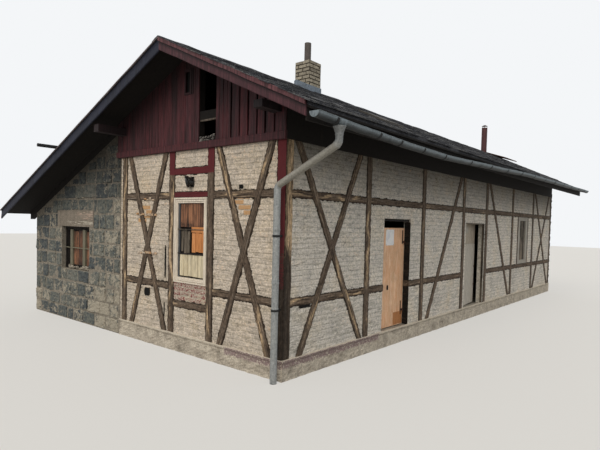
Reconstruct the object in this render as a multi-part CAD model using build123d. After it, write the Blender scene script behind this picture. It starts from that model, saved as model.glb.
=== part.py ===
"""Small railway station building: a half-timbered body with brick infill, a stone lean-to
under the long slope of the roof, and two doors on the platform side.

Units are millimetres. While it is modelled, x = 0 and y = 0 are the outer faces of the corner
post between the gable front (facing -Y) and the platform side (facing +X), and z = 0 is the
top of the plinth. Each piece is moved to the part's own frame as it is written.
"""
from build123d import *
from math import cos, radians, tan
import os

# Plan and heights
body_width = 4127
body_length = 13970
lean_to_width = 3671
plinth_height = 280
frame_height = 3020
wall_thickness = 150
infill_recess = 8
stone_thickness = 300

# Timber sizes
post_width = 150
corner_post_width = 160
brace_width = 125
rail_height = 110
lower_rail_z = 794
upper_rail_z = 2298
plate_height = 150

# Gable front: left edges of its posts and the width of the window bay
gable_post_left = 71
gable_window_post_left = 1587
window_bay_width = 842
under_window_rail_z = 515
window_head_rail_z = 2310
window_head_rail_height = 90
high_rail_z = 2690

# Platform side: post centres, measured from the gable front
side_posts = [2084, 4119, 6156, 7645, 9725, 11780]
infill_sliver = 3.0e5

# Holes where bricks and mortar have fallen out: start along the wall, height, width, rise, depth
gable_pockets = [(-3305, 560, 150, 130, 70), (-2735, 905, 32, 560, 40), (-925, 2385, 80, 55, 50)]
side_pockets = [(340, 688, 150, 48, 60)]

# Doors of the platform side
door_1_from = 2620
door_1_width = 970
door_1_head = 2015
door_1_leaf_top = 1850
door_1_leaf_thickness = 18
door_1_setback = 130
door_2_from = 6330
door_2_width = 1170
door_2_head = 2000
door_2_leaf_top = 1925
door_2_leaf_thickness = 35
door_2_setback = 95
door_2_ajar = 7
door_foot = 15
door_gap = 8
moving_gap = 5
seat_gap = 0.3

# Hinges: a pin on the jamb, an eye on the strap of the leaf
pin_radius = 6
eye_radius = 12
shoulder = 10
pin_play = 0.4
eye_height = 50
strap_thickness = 4
strap_height = 40
door_1_strap_length = 60
door_1_hole_from = 2975
door_1_hole_foot = 720
door_1_hole_width = 55
door_1_hole_height = 50
door_2_strap_length = 340
hinge_plate = 30
hinge_low = 260
hinge_high = 1560

# Windows
frame_bar = 50
window_bar = 30
window_frame_depth = 90
window_board = 22
window_bar_z = 1660
gable_window_sill = 870
side_window_from = 10290
side_window_width = 930
side_window_jamb = 180
side_window_edge = 115
side_window_stud = 60
stone_window_from_left = 1283
stone_window_width = 1202
stone_window_sill = 800
stone_window_height = 910
stone_window_setback = 60
lintel_height = 330
lintel_bearing = 185
lintel_proud = 12

# Gable boarding
sill_board_height = 108
sill_board_proud = 45
sill_board_past_corner = 93
gable_board = 25
loft_opening_from_ridge = 224
loft_opening_width = 410
hatch_past_ridge = 141
hatch_width = 200
hatch_sill = 860
hatch_height = 300
loft_beam_height = 130
loft_beam_z = 450

# Roof
roof_over_frame = 655
right_pitch = 24.56
left_pitch = 22.79
right_eave = 873
left_eave = 423
front_verge = 610
rear_verge = 300
covering = 45
lower_covering = 30
roof_board = 25
rafter_depth = 140
rafter_width = 100
rafter_pitch = 1000
rafter_setback = 73
fascia = 25
fascia_depth = 150
barge_board = 25
barge_depth = 200
right_barge_depth = 175
purlin = 160
left_purlin_height = 130
right_purlin_inset = 240
right_purlin_height = 100
right_purlin_past_wall = 400
left_purlin_inset = 47
left_purlin_past_wall = 560
purlin_post = 120
purlin_post_pitch = 2600

# Loft
joist_width = 100
joist_height = 150
joist_pitch = 900
first_joist = 630
loft_board = 25

# Ground floor
floor_drop = 30

# Chimney, flues and pieces on the roof
chimney_past_ridge = 36
chimney_from = 2550
chimney_side = 357
chimney_over_ridge = 450
flashing = 15
flashing_rise = 120
pot_radius = 66
pot_left_of_middle = 20
pot_wall = 6
pot_socket = 150
pot_over_chimney = 400
flue_radius = 95
flue_wall = 4
flue_from_ridge = 70
flue_from_rear = 1270
flue_over_ridge = 810
flue_cap_rise = 60
flue_cap_radius = 100
flue_cap_height = 45
cap_leg = 8
skylight_from = 2150
skylight_length = 700
skylight_from_eave = 1173
skylight_width = 500
skylight_height = 40
loose_sheet_from_rear = 1330
loose_sheet_length = 1250
loose_sheet_width = 700
loose_sheet_thickness = 30
loose_sheet_from_ridge = 60
loose_sheet_tilt = 7
verge_bar_radius = 32
verge_bar_from_eave = 2801
verge_bar_past = 350
verge_bar_length = 1800

# Rainwater goods
gutter_radius = 70
gutter_wall = 3
gutter_past_eave = 74
gutter_past_roof = 350
# The gutter has sunk at a joint: (y, rim under the roof boards' lower edge) from joint to joint
gutter_front_drop = 39
gutter_drops = [(250, 78), (1500, 111), (2830, 129), (4400, 87), (7600, -4)]
gutter_rear_drop = -63
near_hooks = [-240, 730, 1300, 2020, 2790, 3910]
first_even_hook = 4960
hook_pitch = 1010
gutter_band = 30
gutter_band_thickness = 3
gutter_tail_under_roof = 4
downpipe_radius = 50
downpipe_from_corner = 40
downpipe_from_gable = 120
downpipe_funnel_radius = 75
downpipe_funnel_height = 90
# Drops of the two bends under the roof boards' lower edge, and how far a bend's mitres lie from it
downpipe_top_bend_drop = 339
downpipe_low_bend_drop = 819
downpipe_bend = 60
clamp_height = 30
clamp_thickness = 4
clamp_stem = 8
clamp_levels = [700, 1700]

# Lamp over the gable window
lamp_radius = 85
lamp_depth = 60
lamp_from_window_side = 375
lamp_under_frame_top = 500

# Derived places
left_wall = -(body_width + lean_to_width)
slope_right = tan(radians(right_pitch))
slope_left = tan(radians(left_pitch))
ridge_x = -body_width / 2
ridge_height = frame_height + roof_over_frame - ridge_x * slope_right
left_tip = left_wall - left_eave
roof_front = -front_verge
roof_rear = body_length + rear_verge
roof_thickness = covering + roof_board
beam_top = frame_height + plate_height
floor_top = -floor_drop
half_rail = rail_height / 2
half_post = post_width / 2


def roof_z(x, depth):
    """Height of the roof plane that lies `depth` under the top of the covering."""
    if x >= ridge_x:
        return ridge_height - (x - ridge_x) * slope_right - depth / cos(radians(right_pitch))
    return ridge_height - (ridge_x - x) * slope_left - depth / cos(radians(left_pitch))


def box(x0, x1, y0, y1, z0, z1):
    """Solid between two corners."""
    corner = (Align.MIN, Align.MIN, Align.MIN)
    return Pos(x0, y0, z0) * Box(x1 - x0, y1 - y0, z1 - z0, align=corner)


def on_gable(points, front, back):
    """Outline in (x, z) made solid from y = front to y = back."""
    outline = Plane.XZ.offset(-front) * make_face(Polyline(*points, close=True))
    return extrude(outline, amount=-(back - front))


def on_side(points, outer, depth):
    """Outline in (y, z) made solid from x = outer inwards by depth."""
    outline = Plane.YZ.offset(outer) * make_face(Polyline(*points, close=True))
    return extrude(outline, amount=-depth)


def rectangle(s0, s1, z0, z1):
    """Corners of an upright rectangle on a wall."""
    return [(s0, z0), (s1, z0), (s1, z1), (s0, z1)]


def brace(s_low, s_high, z_low, z_high):
    """Corners of a slanting timber with level ends, from its two end centres."""
    run = s_high - s_low
    lean = (run**2 + (z_high - z_low) ** 2) ** 0.5 / (z_high - z_low)
    half = brace_width * lean / 2
    return [(s_low - half, z_low), (s_low + half, z_low), (s_high + half, z_high), (s_high - half, z_high)]


def fused(shapes):
    """One shape from many that touch."""
    return shapes[0].fuse(*shapes[1:]) if len(shapes) > 1 else shapes[0]


def panels(shape):
    """The brick panels of a wall, without the slivers that mortar fills."""
    return Compound(children=[s for s in shape.solids() if s.volume > infill_sliver])


def clip(shape, s0, s1, axis):
    """The stretch of a wall between two places along X or Y."""
    far = 10 * body_length
    keep = box(s0, s1, -far, far, -far, far) if axis == "x" else box(-far, far, s0, s1, -far, far)
    return shape & keep


pieces = {}


# Plinth with the ground floor of the timber body in it, and the floor of the lean-to
rear_inner = body_length - wall_thickness
pieces["plinth"] = box(-body_width, 0, 0, body_length, -plinth_height, 0) - box(
    -body_width, -wall_thickness, wall_thickness, rear_inner, floor_top, 0
)
pieces["lean_to_floor"] = box(
    left_wall + stone_thickness, -body_width, stone_thickness, body_length - stone_thickness,
    -plinth_height, floor_top,
)

# Half-timbered gable walls, front and rear alike
post_a = -body_width + gable_post_left
post_b = -body_width + gable_window_post_left - post_width / 2
post_c = post_b + post_width + window_bay_width
corner_left = -corner_post_width
window_left = post_b + post_width
window_right = post_c
gable_window_head = window_head_rail_z - window_head_rail_height / 2


def gable_timbers():
    """Outlines of the gable frame in (x, z)."""
    lower = (lower_rail_z - half_rail, lower_rail_z + half_rail)
    upper = (upper_rail_z - half_rail, upper_rail_z + half_rail)
    high = (high_rail_z - half_rail, high_rail_z + half_rail)
    under = (under_window_rail_z - half_rail, under_window_rail_z + half_rail)
    head_half = window_head_rail_height / 2
    left_bay = (post_a + post_width, post_b)
    right_bay = (post_c + post_width, corner_left)
    brace_in = brace_width / 2 + post_width / 4
    outlines = [rectangle(s, s + post_width, 0, frame_height) for s in (post_a, post_b, post_c)]
    outlines.append(rectangle(corner_left, 0, 0, frame_height))
    for s0, s1 in (left_bay, right_bay):
        outlines.append(rectangle(s0, s1, *lower))
        outlines.append(rectangle(s0, s1, *upper))
        outlines.append(brace(s1 - brace_in, s0 + brace_in, 0, frame_height))
        outlines.append(brace(s0 + brace_in + post_width / 2, s1 - brace_in, 0, frame_height))
    outlines.append(rectangle(window_left, window_right, *under))
    outlines.append(rectangle(window_left, window_right, *high))
    outlines.append(
        rectangle(window_left, window_right, window_head_rail_z - head_half, window_head_rail_z + head_half)
    )
    return outlines


def gable_wall(name, front, back, recess_front, recess_back):
    """Frame, brick panels and window bay of one gable wall."""
    frame = fused([on_gable(points, front, back) for points in gable_timbers()])
    slab = box(-body_width, 0, front + recess_front, back - recess_back, 0, frame_height)
    window = box(window_left, window_right, front, back, gable_window_sill, gable_window_head)
    bricks = slab - frame - window
    if recess_front:
        for s, z, width, rise, deep in gable_pockets:
            bricks -= box(s, s + width, front, front + recess_front + deep, z, z + rise)
    pieces[name + "_frame"] = frame
    pieces[name + "_infill"] = panels(bricks)


gable_wall("front", 0, wall_thickness, infill_recess, 0)
gable_wall("rear", rear_inner, body_length, 0, infill_recess)

# Half-timbered platform side, in stretches between the doorways
far_corner = body_length - wall_thickness
lower_rail = (lower_rail_z - half_rail, lower_rail_z + half_rail)
upper_rail = (upper_rail_z - half_rail, upper_rail_z + half_rail)
door_1_to = door_1_from + door_1_width
door_2_to = door_2_from + door_2_width
side_window_to = side_window_from + side_window_width
side_window_sill = lower_rail[1]
side_window_head = upper_rail[0]
side_window_studs = (side_window_from - side_window_stud, side_window_to + side_window_stud)
side_start = wall_thickness
posts = [(y - half_post, y + half_post) for y in side_posts]
lean_in = brace_width / 2 + post_width / 4


def side_frame(first_posts, rails, braces):
    """Frame of one stretch of the platform side, from outlines in (y, z)."""
    outlines = [rectangle(y0, y1, 0, frame_height) for y0, y1 in first_posts]
    outlines += [rectangle(y0, y1, *level) for y0, y1, level in rails]
    outlines += [brace(low, high, 0, frame_height) for low, high in braces]
    return fused([on_side(points, 0, wall_thickness) for points in outlines])


end_bay = (posts[5][1], far_corner)
side_near = side_frame(
    [posts[0]],
    [
        (side_start, posts[0][0], lower_rail),
        (side_start, posts[0][0], upper_rail),
        (posts[0][1], door_1_from, lower_rail),
    ],
    [(side_start + 2 * lean_in, posts[0][0] - 2 * lean_in), (posts[0][0] - lean_in, side_start + lean_in)],
)
side_middle = side_frame(
    [posts[1], posts[2]],
    [
        (door_1_to, posts[1][0], lower_rail),
        (posts[1][1], posts[2][0], lower_rail),
        (posts[1][1], posts[2][0], upper_rail),
    ],
    [(posts[1][1] + 2 * lean_in, posts[2][0] - lean_in)],
)
side_far = side_frame(
    [posts[3], posts[4], posts[5]],
    [
        (posts[3][1], posts[4][0], lower_rail),
        (posts[3][1], posts[4][0], upper_rail),
        (posts[4][1], posts[5][0], lower_rail),
        (side_window_studs[0], side_window_from, (side_window_sill, side_window_head)),
        (side_window_to, side_window_studs[1], (side_window_sill, side_window_head)),
        (posts[4][1], posts[5][0], upper_rail),
        (end_bay[0], end_bay[1], lower_rail),
        (end_bay[0], end_bay[1], upper_rail),
    ],
    [
        (posts[4][0] - lean_in, posts[3][1] + lean_in),
        (end_bay[1] - lean_in, end_bay[0] + lean_in),
        (end_bay[0] + lean_in, end_bay[1] - 2 * lean_in),
    ],
)
head_rail_1 = on_side(rectangle(posts[0][1], posts[1][0], *upper_rail), 0, wall_thickness)
head_rail_2 = on_side(rectangle(posts[2][1], posts[3][0], *upper_rail), 0, wall_thickness)
pieces["side_frame_near"] = side_near
pieces["side_frame_middle"] = side_middle
pieces["side_frame_far"] = side_far
pieces["door_head_rails"] = Compound(children=[head_rail_1, head_rail_2])

timber = fused([side_near, side_middle, side_far, head_rail_1, head_rail_2])
brick_slab = box(-wall_thickness, -infill_recess, side_start, far_corner, 0, frame_height)
door_1_hole = box(-wall_thickness, 0, door_1_from, door_1_to, 0, door_1_head)
door_2_hole = box(-wall_thickness, 0, door_2_from, door_2_to, 0, door_2_head)
side_window_hole = box(
    -wall_thickness, 0, side_window_from, side_window_to, side_window_sill, side_window_head
)
side_bricks = brick_slab - timber - door_1_hole - door_2_hole - side_window_hole
for y, z, width, rise, deep in side_pockets:
    side_bricks -= box(-infill_recess - deep, 0, y, y + width, z, z + rise)
pieces["side_infill_near"] = panels(clip(side_bricks, 0, door_1_from, "y"))
pieces["side_infill_middle"] = panels(clip(side_bricks, door_1_to, door_2_from, "y"))
over_doors = [clip(side_bricks, s0, s1, "y") for s0, s1 in ((door_1_from, door_1_to), (door_2_from, door_2_to))]
pieces["over_door_infill"] = Compound(children=[s for shape in over_doors for s in panels(shape).solids()])
pieces["side_infill_far"] = panels(clip(side_bricks, door_2_to, body_length, "y"))

# Beams on top of the timber walls, and the row of posts inside towards the lean-to
inner_left = -body_width
inner_right = inner_left + post_width
pieces["wall_plates"] = box(-body_width, 0, 0, body_length, frame_height, beam_top) - box(
    inner_right, -wall_thickness, wall_thickness, rear_inner, frame_height, beam_top
)
pieces["eaves_closing_board"] = on_gable(
    [
        (-wall_thickness / 2, beam_top),
        (0, beam_top),
        (0, roof_z(0, roof_thickness + rafter_depth)),
        (-wall_thickness / 2, roof_z(-wall_thickness / 2, roof_thickness + rafter_depth)),
    ],
    0, body_length,
)
pieces["inner_posts"] = Compound(children=[
    box(inner_left, inner_right, y0, y1, floor_top, frame_height) for y0, y1 in posts
])

# Loft floor on joists
joists = []
joist_count = int((rear_inner - wall_thickness - joist_width) // joist_pitch)
for i in range(joist_count):
    y = wall_thickness + first_joist + joist_pitch * i
    joists.append(box(inner_right, -wall_thickness, y, y + joist_width, beam_top - joist_height, beam_top))
chimney_left = ridge_x - chimney_past_ridge
chimney_right = chimney_left + chimney_side
chimney_top = ridge_height + chimney_over_ridge
chimney_to = chimney_from + chimney_side
chimney_well = box(chimney_left, chimney_right, chimney_from, chimney_to, -plinth_height, chimney_top)
pieces["loft_joists"] = Compound(children=[s for j in joists for s in (j - chimney_well).solids()])
loft_floor = box(
    inner_left, -wall_thickness / 2, 0, body_length, beam_top, beam_top + loft_board
)
pieces["loft_floor"] = loft_floor - chimney_well

# Stone lean-to
stone_top_depth = roof_thickness + rafter_depth
window_l = left_wall + stone_window_from_left
window_r = window_l + stone_window_width
window_top = stone_window_sill + stone_window_height
lintel_l = window_l - lintel_bearing
lintel_r = window_r + lintel_bearing


def stone_gable(front, back):
    """End wall of the lean-to, cut to the slope under the rafters."""
    return on_gable(
        [
            (left_wall, -plinth_height),
            (-body_width, -plinth_height),
            (-body_width, roof_z(-body_width, stone_top_depth)),
            (left_wall, roof_z(left_wall, stone_top_depth)),
        ],
        front, back,
    )


stone_front = stone_gable(0, stone_thickness)
stone_front -= box(window_l, window_r, 0, stone_thickness, stone_window_sill, window_top)
stone_front -= box(lintel_l, lintel_r, 0, stone_thickness, window_top, window_top + lintel_height)
pieces["stone_front_wall"] = stone_front
pieces["stone_lintel"] = box(
    lintel_l, lintel_r, -lintel_proud, stone_thickness, window_top, window_top + lintel_height
)
pieces["stone_rear_wall"] = stone_gable(body_length - stone_thickness, body_length)
pieces["stone_side_wall"] = box(
    left_wall, left_wall + stone_thickness, stone_thickness, body_length - stone_thickness,
    -plinth_height, roof_z(left_wall, stone_top_depth),
)

# Roof timbers
def band(x0, x1, top, bottom):
    """Corners in (x, z) of a layer of the roof between two depths under its top."""
    return [(x0, roof_z(x0, top)), (x1, roof_z(x1, top)), (x1, roof_z(x1, bottom)), (x0, roof_z(x0, bottom))]


ridge_gap = 0.001
rafter_span_right = (ridge_x, right_eave - rafter_setback)
rafter_span_left = (left_tip + rafter_setback, ridge_x - ridge_gap)
rafter_rows = int(body_length // rafter_pitch)
rafter_step = (body_length - rafter_width) / rafter_rows
rafter_places = [i * rafter_step for i in range(rafter_rows + 1)]
rafter_bottom = roof_thickness + rafter_depth


def purlin_box(x0, height, past_wall):
    """Purlin whose upper edge touches the underside of the rafters."""
    top = min(roof_z(x0, rafter_bottom), roof_z(x0 + purlin, rafter_bottom))
    return box(x0, x0 + purlin, -past_wall, purlin_rear, top - height, top)


purlin_places = (
    ("right_purlin", -right_purlin_inset, right_purlin_height, right_purlin_past_wall),
    ("left_purlin", left_purlin_inset - body_width, left_purlin_height, left_purlin_past_wall),
)
purlin_rear = body_length + rear_verge - (front_verge - left_purlin_past_wall)
stud_count = int(body_length // purlin_post_pitch)
stud_step = (body_length - purlin_post) / stud_count
for name, x0, height, past_wall in purlin_places:
    mid = x0 + (purlin - purlin_post) / 2
    beam = purlin_box(x0, height, past_wall)
    foot = beam_top + loft_board
    head = beam.bounding_box().min.Z
    studs = [
        box(mid, mid + purlin_post, i * stud_step, i * stud_step + purlin_post, foot, head)
        for i in range(stud_count + 1)
    ]
    pieces[name] = fused([beam] + studs)

rafters_right = []
rafters_left = []
for y in rafter_places:
    right = on_gable(band(*rafter_span_right, roof_thickness, rafter_bottom), y, y + rafter_width)
    left = on_gable(band(*rafter_span_left, roof_thickness, rafter_bottom), y, y + rafter_width)
    rafters_right += (right - chimney_well).solids()
    rafters_left += (left - chimney_well).solids()
pieces["rafters_right"] = Compound(children=rafters_right)
pieces["rafters_left"] = Compound(children=rafters_left)

# Roof boards and covering
flue_x = ridge_x + flue_from_ridge
flue_from = body_length - flue_from_rear
flue_top = ridge_height + flue_over_ridge
flue_hole = Pos(flue_x, flue_from, beam_top) * Cylinder(
    flue_radius, flue_top - beam_top, align=(Align.CENTER, Align.CENTER, Align.MIN)
)
board_front = roof_front + barge_board
board_rear = roof_rear - barge_board
left_break = -body_width - sill_board_past_corner


def roof_layer(x0, x1, top, bottom):
    """A layer of the roof over its whole length, cut round the chimney and the flue."""
    layer = on_gable(band(x0, x1, top, bottom), board_front, board_rear)
    return layer - chimney_well - flue_hole


pieces["roof_boards_right"] = roof_layer(ridge_x, right_eave, covering, roof_thickness)
pieces["roof_boards_left"] = roof_layer(left_tip, ridge_x - ridge_gap, covering, roof_thickness)
pieces["roof_covering_right"] = roof_layer(ridge_x, right_eave, 0, covering)
pieces["roof_covering_left"] = fused([
    roof_layer(left_break, ridge_x - ridge_gap, 0, covering),
    roof_layer(left_tip, left_break, covering - lower_covering, covering),
])


# Barge boards, fascias and gable boarding
def barge(x0, x1, y0, depth):
    return on_gable(band(x0, x1, 0, depth), y0, y0 + barge_board)


fascia_right = right_eave - rafter_setback
barge_ends = (roof_front, board_rear)
pieces["barge_boards"] = Compound(children=[
    fused([
        barge(ridge_x, fascia_right + fascia, y0, right_barge_depth), barge(left_tip, ridge_x, y0, barge_depth),
    ])
    for y0 in barge_ends
])
fascia_top = roof_z(fascia_right + fascia, roof_thickness)
pieces["eaves_fascia"] = box(
    fascia_right, fascia_right + fascia, board_front, board_rear, fascia_top - fascia_depth, fascia_top
)

boarding_foot = frame_height + sill_board_height
boarding_left = left_break
loft_l = ridge_x + loft_opening_from_ridge
hatch_l = ridge_x - hatch_past_ridge
loft_r = loft_l + loft_opening_width


def boarding(x0, x1, y0, y1):
    """Upright boards between the sill board and the roof boards."""
    points = [(x0, boarding_foot), (x1, boarding_foot), (x1, roof_z(x1, roof_thickness))]
    if x0 < ridge_x < x1:
        points.append((ridge_x, roof_z(ridge_x, roof_thickness)))
    points.append((x0, roof_z(x0, roof_thickness)))
    return on_gable(points, y0, y1)


def gable_boarding(y0, y1):
    shape = boarding(boarding_left, 0, y0, y1)
    for _, x0, height, past_wall in purlin_places:
        shape -= purlin_box(x0, height, past_wall)
    return shape


def sill_board(y0, y1):
    return box(boarding_left, 0, y0, y1, frame_height, boarding_foot)


front_boards = gable_boarding(-gable_board, 0)
front_boards -= box(loft_l, loft_r, -gable_board, 0, boarding_foot, ridge_height)
front_boards -= box(
    hatch_l, hatch_l + hatch_width, -gable_board, 0,
    frame_height + hatch_sill, frame_height + hatch_sill + hatch_height,
)
pieces["front_boarding_left"] = clip(front_boards, boarding_left, loft_l, "x")
pieces["front_boarding_right"] = clip(front_boards, loft_r, 0, "x")
pieces["rear_boarding"] = gable_boarding(body_length, body_length + gable_board)
pieces["sill_boards"] = Compound(children=[
    sill_board(-sill_board_proud, 0), sill_board(body_length, body_length + sill_board_proud)
])
loft_posts = []
for x0 in (loft_l - purlin_post, loft_r):
    top = min(roof_z(x0, rafter_bottom), roof_z(x0 + purlin_post, rafter_bottom))
    loft_posts.append(box(x0, x0 + purlin_post, 0, rafter_width, beam_top + loft_board, top))
beam_low = frame_height + loft_beam_z
loft_posts.append(box(loft_l, loft_r, 0, rafter_width, beam_low, beam_low + loft_beam_height))
pieces["loft_opening_frame"] = fused(loft_posts)


# Windows
def gable_window(s0, s1, z0, z1, bar, front, board_back):
    """Frame and glazing bar from y = front inwards, with boards nailed behind, or before on the rear."""
    back = front + window_frame_depth
    ring = on_gable(rectangle(s0, s1, z0, z1), front, back)
    hole = on_gable(rectangle(s0 + frame_bar, s1 - frame_bar, z0 + frame_bar, z1 - frame_bar), front, back)
    board_front = back if board_back else front - window_board
    boards = box(s0, s1, board_front, board_front + window_board, z0, z1)
    return fused([ring - hole, on_gable(bar, front, back), boards])


half_bar = window_bar / 2
level_bar = rectangle(window_left + frame_bar, window_right - frame_bar,
                      window_bar_z - half_bar, window_bar_z + half_bar)
gable_window_place = (window_left, window_right, gable_window_sill, gable_window_head, level_bar)
pieces["front_window"] = gable_window(*gable_window_place, 0, True)
pieces["rear_window"] = gable_window(*gable_window_place, body_length - window_frame_depth, False)
stone_window_mid = (window_l + window_r) / 2
upright_bar = rectangle(stone_window_mid - window_bar, stone_window_mid + window_bar,
                        stone_window_sill + frame_bar, window_top - frame_bar)
pieces["stone_window"] = gable_window(
    window_l, window_r, stone_window_sill, window_top, upright_bar, stone_window_setback, True
)
side_ring = on_side(
    rectangle(side_window_from, side_window_to, side_window_sill, side_window_head), 0, window_frame_depth
) - on_side(
    rectangle(side_window_from + side_window_jamb, side_window_to - side_window_jamb,
              side_window_sill + side_window_edge, side_window_head - side_window_edge), 0, window_frame_depth
)
pieces["side_window"] = fused([side_ring, box(
    -window_frame_depth - window_board, -window_frame_depth, side_window_from, side_window_to,
    side_window_sill, side_window_head,
)])

# Chimney and its flashing
pot_x = chimney_left + chimney_side / 2 - pot_left_of_middle
pot_top = chimney_top + pot_over_chimney
pot_y = chimney_from + chimney_side / 2
base = (Align.CENTER, Align.CENTER, Align.MIN)
pot = Pos(pot_x, pot_y, chimney_top - pot_socket) * (
    Cylinder(pot_radius, pot_top - chimney_top + pot_socket, align=base)
    - Cylinder(pot_radius - pot_wall, pot_top - chimney_top + pot_socket, align=base)
)
socket = Pos(pot_x, pot_y, chimney_top - pot_socket) * Cylinder(pot_radius, pot_socket, align=base)
chimney = box(chimney_left, chimney_right, chimney_from, chimney_to, floor_top, chimney_top)
pieces["chimney"] = chimney - socket
pieces["chimney_pot"] = pot
skirt_left = chimney_left - flashing
skirt_right = chimney_right + flashing
skirt = [(x, roof_z(x, 0)) for x in (skirt_left, ridge_x, skirt_right)]
pieces["chimney_flashing"] = on_gable(
    skirt + [(x, z + flashing_rise) for x, z in reversed(skirt)], chimney_from - flashing, chimney_to + flashing
) - chimney_well

# Metal flue near the far end, with a small hat on three legs
flue_foot = beam_top + loft_board
flue_tube = Pos(flue_x, flue_from, flue_foot) * (
    Cylinder(flue_radius, flue_top - flue_foot, align=base)
    - Cylinder(flue_radius - flue_wall, flue_top - flue_foot, align=base)
)
hat = Pos(flue_x, flue_from, flue_top + flue_cap_rise) * Cone(
    flue_cap_radius, cap_leg, flue_cap_height, align=base
)
legs = []
for turn in (0, 120, 240):
    leg = Rot(0, 0, turn) * Pos(flue_radius - flue_wall / 2, 0, 0) * Box(
        flue_wall, cap_leg * 2, flue_cap_rise, align=base
    )
    legs.append(Pos(flue_x, flue_from, flue_top) * leg)
pieces["metal_flue"] = fused([flue_tube, hat] + legs)

# Pieces that lie on the roof
sky_x0 = right_eave - skylight_from_eave
pieces["skylight"] = on_gable(
    band(sky_x0, sky_x0 + skylight_width, -skylight_height, 0), skylight_from, skylight_from + skylight_length
)
sheet_x0 = ridge_x + loose_sheet_from_ridge
loose_sheet_from = roof_rear - loose_sheet_from_rear
sheet_x1 = sheet_x0 + loose_sheet_width
lift = loose_sheet_width * tan(radians(loose_sheet_tilt))
pieces["loose_roof_sheet"] = on_gable(
    [
        (sheet_x0, roof_z(sheet_x0, 0)),
        (sheet_x1, roof_z(sheet_x1, 0) + lift),
        (sheet_x1, roof_z(sheet_x1, 0) + lift + loose_sheet_thickness),
        (sheet_x0, roof_z(sheet_x0, 0) + loose_sheet_thickness),
    ],
    loose_sheet_from, loose_sheet_from + loose_sheet_length,
)

# Gutter, its bands and the downpipe
gutter_x = right_eave + gutter_past_eave
gutter_start = roof_front
gutter_end = roof_rear + gutter_past_roof
gutter_line = [(gutter_start, gutter_front_drop)] + gutter_drops + [(gutter_end, gutter_rear_drop)]
roof_underside = roof_z(right_eave, roof_thickness)


def gutter_rim(y):
    """Height of the gutter's rim at y, straight from joint to joint."""
    for (y0, drop0), (y1, drop1) in zip(gutter_line, gutter_line[1:]):
        if y <= y1:
            break
    return roof_underside - drop0 - (drop1 - drop0) * (y - y0) / (y1 - y0)


def mitred(section, x_dir, overrun, points, first, last):
    """A flat section carried along straight lengths, mitred where two meet and cut at the ends by
    the planes whose normals are first and last."""
    points = [Vector(*point) for point in points]
    ways = [(b - a).normalized() for a, b in zip(points, points[1:])]
    cuts = [Vector(*first)] + [a + b for a, b in zip(ways, ways[1:])] + [Vector(*last)]
    lengths = []
    for i, way in enumerate(ways):
        place = Plane(points[i] - way * overrun, x_dir=x_dir, z_dir=-way)
        length = extrude(place * section, amount=-((points[i + 1] - points[i]).length + 2 * overrun))
        length = split(length, bisect_by=Plane(points[i], z_dir=cuts[i]), keep=Keep.TOP)
        lengths.append(split(length, bisect_by=Plane(points[i + 1], z_dir=cuts[i + 1]), keep=Keep.BOTTOM))
    return fused(lengths)


def half_ring(outer, inner, places):
    """Lower half of a ring along the gutter's axis, upright at both ends."""
    ring = Circle(outer) - Circle(inner) if inner else Circle(outer)
    lower = ring & Pos(0, -outer) * Rectangle(2 * outer, 2 * outer)
    points = [(gutter_x, y, gutter_rim(y)) for y in places]
    return mitred(lower, (1, 0, 0), outer, points, (0, 1, 0), (0, 1, 0))


pipe_y = -downpipe_from_gable
pipe_x = -downpipe_from_corner
pipe_top = gutter_rim(pipe_y + downpipe_funnel_radius) - gutter_radius - seat_gap
outlet = Pos(gutter_x, pipe_y, pipe_top - gutter_radius / 2) * Cylinder(
    downpipe_radius - gutter_wall, gutter_radius, align=base
)
joints = [y for y, drop in gutter_line]
gutter_ends = [
    half_ring(gutter_radius, 0, [y0, y0 + gutter_wall]) for y0 in (gutter_start, gutter_end - gutter_wall)
]
gutter = half_ring(gutter_radius, gutter_radius - gutter_wall, joints)
pieces["gutter"] = fused([gutter] + gutter_ends) - outlet
bands = []
hook_in = fascia_right + fascia
even_hooks = int((board_rear - gutter_band - first_even_hook) // hook_pitch) + 1
hooks = near_hooks + [first_even_hook + hook_pitch * i for i in range(even_hooks)]
outer = gutter_radius + gutter_band_thickness
for y0 in hooks:
    strap = half_ring(outer, gutter_radius, [y0, y0 + gutter_band])
    rim = min(gutter_rim(y0), gutter_rim(y0 + gutter_band))
    level = min(rim, roof_underside - gutter_tail_under_roof)
    hook_out = gutter_x - ((outer - gutter_band_thickness / 2) ** 2 - (rim - level) ** 2) ** 0.5
    tail = box(hook_in, hook_out, y0, y0 + gutter_band, level - gutter_band_thickness, level)
    bands.append(fused([strap, tail]))
top_bend = roof_underside - downpipe_top_bend_drop
low_bend = roof_underside - downpipe_low_bend_drop
slant = Vector(pipe_x - gutter_x, 0, low_bend - top_bend).normalized() * downpipe_bend
route = [
    (gutter_x, pipe_y, pipe_top),
    (gutter_x, pipe_y, top_bend + downpipe_bend),
    (gutter_x + slant.X, pipe_y, top_bend + slant.Z),
    (pipe_x - slant.X, pipe_y, low_bend - slant.Z),
    (pipe_x, pipe_y, low_bend - downpipe_bend),
    (pipe_x, pipe_y, -plinth_height),
]
pipe = mitred(Circle(downpipe_radius), (0, 1, 0), downpipe_radius, route, (0, 0, -1), (0, 0, -1))
funnel = Pos(gutter_x, pipe_y, pipe_top - downpipe_funnel_height) * Cone(
    downpipe_radius, downpipe_funnel_radius, downpipe_funnel_height, align=base
)
pieces["downpipe"] = fused([pipe, funnel])
clamps = []
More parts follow.
